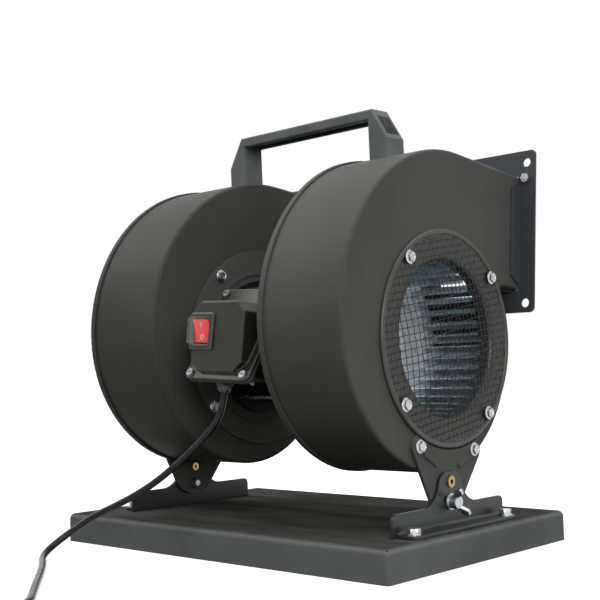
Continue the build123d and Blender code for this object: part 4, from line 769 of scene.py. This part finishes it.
def fasteners():
    """The bolts on the drums, arms, motor plates and feet, none turned quite like its neighbour."""
    inside = DRUM_OUTER - SHEET
    head = RING_FACE + 2 * GUARD_LAYER
    plate = DRUM_INNER - MOTOR_PLATE_THICKNESS
    guard_seats = []
    arm_seats = []
    plate_seats = []
    for side in SIDES.values():
        guard_seats += [(side, side * head, y, z) for y, z in four_corners(GUARD_BOLT_CIRCLE)]
        arm_seats += [(side, side * ARM_FACE, y, ARM_EAR[1]) for y in (-ARM_EAR[0], ARM_EAR[0])]
        plate_seats += [(-side, side * plate, y, z) for y, z in four_corners(MOTOR_BOLT_CIRCLE)]
    rows = {
        "guard_fasteners": (head - inside, guard_seats),
        "arm_fasteners": (ARM_FACE - inside, arm_seats),
        "motor_plate_fasteners": (MOTOR_PLATE_THICKNESS + SHEET, plate_seats),
    }
    for node, (stack, seats) in rows.items():
        places = [on_face(*seat, spin=TURN_PER_BOLT * i) for i, seat in enumerate(seats)]
        mesh = copies(node + "_detail", flange_bolt(stack), places, "zinc_steel", BLOWER)
        piece(node + "_detail", mesh, "zinc_steel", "blower", instead_of=(node,))
    places = []
    for side in SIDES.values():
        for along in (-FOOT_BOLT_SPACING / 2, FOOT_BOLT_SPACING / 2):
            out = BLOWER_SHIFT + side * (FOOT_FACE + FOOT_BOLT_OUT)
            turn = FOOT_BOLT_TURN[0] * side + FOOT_BOLT_TURN[1] * along / FOOT_BOLT_SPACING
            seat = Matrix.Translation((out, PIVOT_Y + along, BASE_HEIGHT + PLATE))
            places.append(seat @ Matrix.Rotation(radians(turn), 4, "Z"))
    mesh = copies("foot_bolts_detail", foot_bolt(), places, "zinc_steel")
    piece("foot_bolts_detail", mesh, "zinc_steel", "stand", instead_of=("foot_bolts",))


def dome_lift(along, across):
    """How far the guard's dome stands above its flat rim."""
    share = (GUARD_DOME_RADIUS - sqrt(along ** 2 + across ** 2)) / (GUARD_DOME_RADIUS - GUARD_CREST_RADIUS)
    share = min(1.0, max(0.0, share))
    return GUARD_DOME * share * share * (3 - 2 * share)


def woven_runs():
    """The guard's wires, over and under each other, as runs of points above z = 0."""
    reach = RING_RADIUS - GUARD_RIM_WIDTH - GUARD_END_GAP
    rows = int((reach - GUARD_PITCH / 2) / GUARD_PITCH)
    runs = []
    for layer in (0, 1):
        turn = Matrix.Rotation(radians(GUARD_TURN + 90 * layer), 3, "Z")
        for row in range(-rows, rows + 1):
            across = row * GUARD_PITCH
            half = sqrt(reach ** 2 - across ** 2)
            count = int(half / GUARD_PITCH * WEAVE_STEPS)
            run = []
            for i in range(-count, count + 1):
                along = i * GUARD_PITCH / WEAVE_STEPS
                wave = GUARD_WIRE_RADIUS * cos(pi * (i / WEAVE_STEPS + row + layer))
                run.append(turn @ Vector((along, across, GUARD_LAYER + wave + dome_lift(along, across))))
            runs.append(run)
    return runs


def arc(centre, along, across, start, end):
    """Points on an arc in a half section, with a radius along the shaft and one across it."""
    angles = [radians(start + (end - start) * i / ARC_STEPS) for i in range(ARC_STEPS + 1)]
    return [(centre[0] + along * cos(a), centre[1] + across * sin(a)) for a in angles]


def inlet_parts():
    """Each inlet's ring, curved in to its mouth and rolled at its rim, and the woven guard inside the rim."""
    throat = RING_MOUTH - MOUTH_CURVE
    bend = RING_FACE - MOUTH_CURVE
    roll = GUARD_RIM_WIDTH / 2
    under = MOUTH_CURVE - SHEET
    rim = arc((RING_FACE, RING_RADIUS - roll), GUARD_RIM, roll, 90, -90)
    outer = arc((bend, RING_MOUTH), MOUTH_CURVE, -MOUTH_CURVE, 0, 90)
    edge = [(RING_FACE - RING_DEPTH, throat), (RING_FACE - RING_DEPTH, throat + SHEET)]
    inner = arc((bend, RING_MOUTH), under, -under, 90, 0)
    profile = [(DRUM_OUTER, RING_RADIUS), *rim, *outer, *edge, *inner]
    for name, side in SIDES.items():
        turned = [(side * x, r) for x, r in profile]
        ring = settle(mesh_of(lathe(turned)), BLOWER)
        piece(name + "_inlet_ring_rolled", ring, "ring_coat", "blower",
              instead_of=(name + "_inlet_ring",))
        wires = round_wires(name + "_woven_guard", woven_runs(), GUARD_WIRE_RADIUS, GUARD_WIRE_SIDES,
                            "guard_coat")
        settle(wires, BLOWER @ Matrix.Translation((side * RING_FACE, 0, 0)) @ facing(side))
        piece(name + "_woven_guard", wires, "guard_coat", "blower", 60.0,
              instead_of=(name + "_inlet_guard",))


def rocker_height(along):
    """The rocker's top, dished between its lower end, which is pressed in, and its upper end."""
    reach = ROCKER_HEIGHT / 2 - ROCKER_GAP
    drop = 2 * (ROCKER_HEIGHT / 2) * tan(radians(ROCKER_THROW))
    share = along / reach
    return SWITCH_BEZEL + ROCKER_PROUD - drop * (1 - share) / 2 - ROCKER_DIP * (1 - share ** 2)


def rocker():
    """The red rocker with rounded edges, and its plain I and O marks."""
    reach = ROCKER_HEIGHT / 2 - ROCKER_GAP
    top = [-reach + 2 * reach * i / ROCKER_STEPS for i in range(ROCKER_STEPS + 1)]
    keel, depth = ROCKER_KEEL
    outline = [(a, rocker_height(a)) for a in top] + [(keel, depth), (-keel, depth)]
    shape = bmesh.new()
    half = ROCKER_WIDTH / 2
    near = [shape.verts.new((-half, a, h)) for a, h in outline]
    far = [shape.verts.new((half, a, h)) for a, h in outline]
    shape.faces.new(near)
    shape.faces.new(far)
    for i in range(len(outline)):
        j = (i + 1) % len(outline)
        shape.faces.new((near[i], near[j], far[j], far[i]))
    bmesh.ops.recalc_face_normals(shape, faces=shape.faces)
    rims = [e for e in shape.edges if len(e.link_faces) == 2 and e.calc_face_angle() > radians(ROCKER_CREASE)]
    bmesh.ops.bevel(shape, geom=rims, offset=ROCKER_ROUNDING, segments=3, profile=0.5, affect="EDGES")
    piece("switch_rocker_rounded", settle(mesh_of(shape), SWITCH), "red_plastic", "rocker",
          instead_of=("switch_rocker",))
    marks = joined([mark_bar(reach * BAR_PLACE), mark_loop(reach * LOOP_PLACE)])
    piece("switch_marks", settle(mesh_of(marks), SWITCH), "mark_paint", "rocker")


def on_rocker(shape):
    """Lays a flat mark on the rocker's dished top."""
    for vert in shape.verts:
        vert.co.z += rocker_height(vert.co.y)
    return shape


def mark_bar(centre, length=4.6, width=0.9, steps=6):
    """The I: a short upright bar."""
    half = width / 2
    section = [(-half, MARK_SINK), (half, MARK_SINK), (half, MARK_RISE), (-half, MARK_RISE)]
    places = [centre - length / 2 + length * i / steps for i in range(steps + 1)]
    return on_rocker(lofted([[(across, along, h) for across, h in section] for along in places]))


def mark_loop(centre, radius=2.3, width=0.8, steps=32):
    """The O: a thin ring."""
    inner = radius - width
    section = [(radius, MARK_SINK), (radius, MARK_RISE), (inner, MARK_RISE), (inner, MARK_SINK)]
    shape = bmesh.new()
    rows = []
    for i in range(steps):
        angle = 2 * pi * i / steps
        rows.append([shape.verts.new((r * cos(angle), centre + r * sin(angle), h)) for r, h in section])
    for i, row in enumerate(rows):
        after = rows[(i + 1) % steps]
        for k in range(len(section)):
            j = (k + 1) % len(section)
            shape.faces.new((row[k], row[j], after[j], after[k]))
    return on_rocker(shape)


def coil_points():
    """The cord's control points round the coil: three rows on the floor, then three on top of them."""
    rows = [(radius, CORD_RADIUS) for radius in COIL_ROWS]
    rows += [(radius, 3 * CORD_RADIUS) for radius in reversed(COIL_ROWS)]
    rows.append(((COIL_ROWS[0] + COIL_ROWS[1]) / 2, CORD_RADIUS * (3 + sqrt(3))))
    last = COIL_TURNS + (COIL_START - COIL_END) / 360
    # The curve runs a little inside its control points, so they stand out by this factor
    outward = 1 / (1 - (pi / COIL_POINTS_A_TURN) ** 2 / 3)
    points = []
    for i in range(int(last * COIL_POINTS_A_TURN) + 1):
        turn = i / COIL_POINTS_A_TURN
        row = min(int(turn), COIL_TURNS - 1)
        share = min(1.0, max(0.0, (turn - row - 1 + STEP_OVER) / STEP_OVER))
        (radius, height), (next_radius, next_height) = rows[row], rows[row + 1]
        radius = (radius + share * (next_radius - radius)) * outward
        angle = radians(COIL_START - 360 * turn)
        points.append((COIL_CENTRE[0] + radius * cos(angle), COIL_CENTRE[1] + radius * sin(angle),
                       height + share * (next_height - height)))
    return points


def mains_cord():
    """The mains cord, from its gland over the base to the floor, its coil and its plug, as one tube."""
    curve = bpy.data.curves.new("mains_cord_line", "CURVE")
    curve.dimensions = "3D"
    run = curve.splines.new("NURBS")
    route = [*CORD_ROUTE, *coil_points(), *TAIL_ROUTE]
    run.points.add(len(route) - 1)
    for point, place in zip(run.points, route):
        point.co = (*(Vector(place) * MM), 1.0)
    run.order_u = 3
    run.use_endpoint_u = True
    run.resolution_u = 8
    line = bpy.data.objects.new("mains_cord_line", curve)
    bpy.context.scene.collection.objects.link(line)
    path = [vert.co.copy() for vert in baked(line, "mains_cord_line").vertices]
    tube = round_wires("mains_cord", [path], CORD_RADIUS * MM, CORD_SIDES, "cord_sheath")
    cord = piece("mains_cord", tube, "cord_sheath", None, angle=60.0,
                 instead_of=("power_cord", "cord_coil", "cord_tail"))
    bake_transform(cord)


def paper_floor():
    """A plain pale floor, white to the camera, which keeps the object's shadow."""
    mesh = bpy.data.meshes.new("floor")
    corners = [(-1, -1), (1, -1), (1, 1), (-1, 1)]
    mesh.from_pydata([(x * FLOOR_REACH, y * FLOOR_REACH, 0) for x, y in corners], [], [(0, 1, 2, 3)])
    floor = bpy.data.objects.new("floor", mesh)
    bpy.context.scene.collection.objects.link(floor)
    floor.location.z = -FLOOR_DROP
    paper = Finish("floor_paper", (PAPER, PAPER, PAPER), 0.95)
    seen = paper.node("ShaderNodeLightPath").outputs["Is Camera Ray"]
    lifted = paper.mixed(seen, (0, 0, 0), (PAPER_LIFT, PAPER_LIFT, PAPER_LIFT))
    paper.tree.links.new(lifted, paper.shader.inputs["Emission Color"])
    paper.fixed(Emission_Strength=1.0)
    mesh.materials.append(paper.material)
    floor.visible_diffuse = False


def pale_world():
    """A world that is white where it is seen, mirrored or seen through, and lights surfaces from above."""
    world = bpy.data.worlds.new("studio")
    bpy.context.scene.world = world
    world.use_nodes = True
    tree = world.node_tree
    rays = add_node(tree, "ShaderNodeLightPath").outputs
    seen = Wire(tree, rays["Is Camera Ray"]).larger(Wire(tree, rays["Is Glossy Ray"]))
    seen = seen.larger(Wire(tree, rays["Is Transmission Ray"]))
    way = add_node(tree, "ShaderNodeTexCoord").outputs["Generated"]
    height = Wire(tree, add_node(tree, "ShaderNodeSeparateXYZ", None, {0: way}).outputs["Z"])
    sky = height.spread(-0.05, 1.0, SKY_BELOW, SKY_ABOVE)
    strength = add_node(tree, "ShaderNodeMix", {"data_type": "FLOAT"}, {0: seen, 2: sky, 3: 1.0}).outputs[0]
    tree.links.new(strength, tree.nodes["Background"].inputs["Strength"])
    tree.nodes["Background"].inputs["Color"].default_value = (1.0, 1.0, 1.0, 1.0)


def lamps():
    """The studio's square lamps, each turned towards its aim."""
    for name, place, aim, size, power in LAMPS:
        data = bpy.data.lights.new(name, "AREA")
        data.size = size
        data.energy = power
        lamp = bpy.data.objects.new(name, data)
        lamp.location = place
        lamp.rotation_mode = "QUATERNION"
        lamp.rotation_quaternion = (Vector(aim) - Vector(place)).to_track_quat("-Z", "Y")
        bpy.context.scene.collection.objects.link(lamp)


def photo_camera():
    """The camera of the photograph."""
    data = bpy.data.cameras.new("camera")
    data.sensor_width = SENSOR_WIDTH
    data.lens = FOCAL_LENGTH / PICTURE_WIDTH * SENSOR_WIDTH
    data.clip_end = CLIP_END
    camera = bpy.data.objects.new("camera", data)
    azimuth, elevation, roll = radians(CAMERA_AZIMUTH), radians(CAMERA_ELEVATION), radians(CAMERA_ROLL)
    back = Vector((sin(azimuth) * cos(elevation), -cos(azimuth) * cos(elevation), sin(elevation)))
    level_right = (-back).cross(Vector((0, 0, 1))).normalized()
    level_up = level_right.cross(-back)
    right = cos(roll) * level_right + sin(roll) * level_up
    up = cos(roll) * level_up - sin(roll) * level_right
    turn = Matrix((right, up, back)).transposed().to_4x4()
    camera.matrix_world = Matrix.Translation(CAMERA_PLACE) @ turn
    bpy.context.scene.collection.objects.link(camera)
    bpy.context.scene.camera = camera
    bpy.context.scene.view_settings.view_transform = "Standard"


dress_frame()
fasteners()
inlet_parts()
rocker()
mains_cord()
paper_floor()
pale_world()
lamps()
photo_camera()
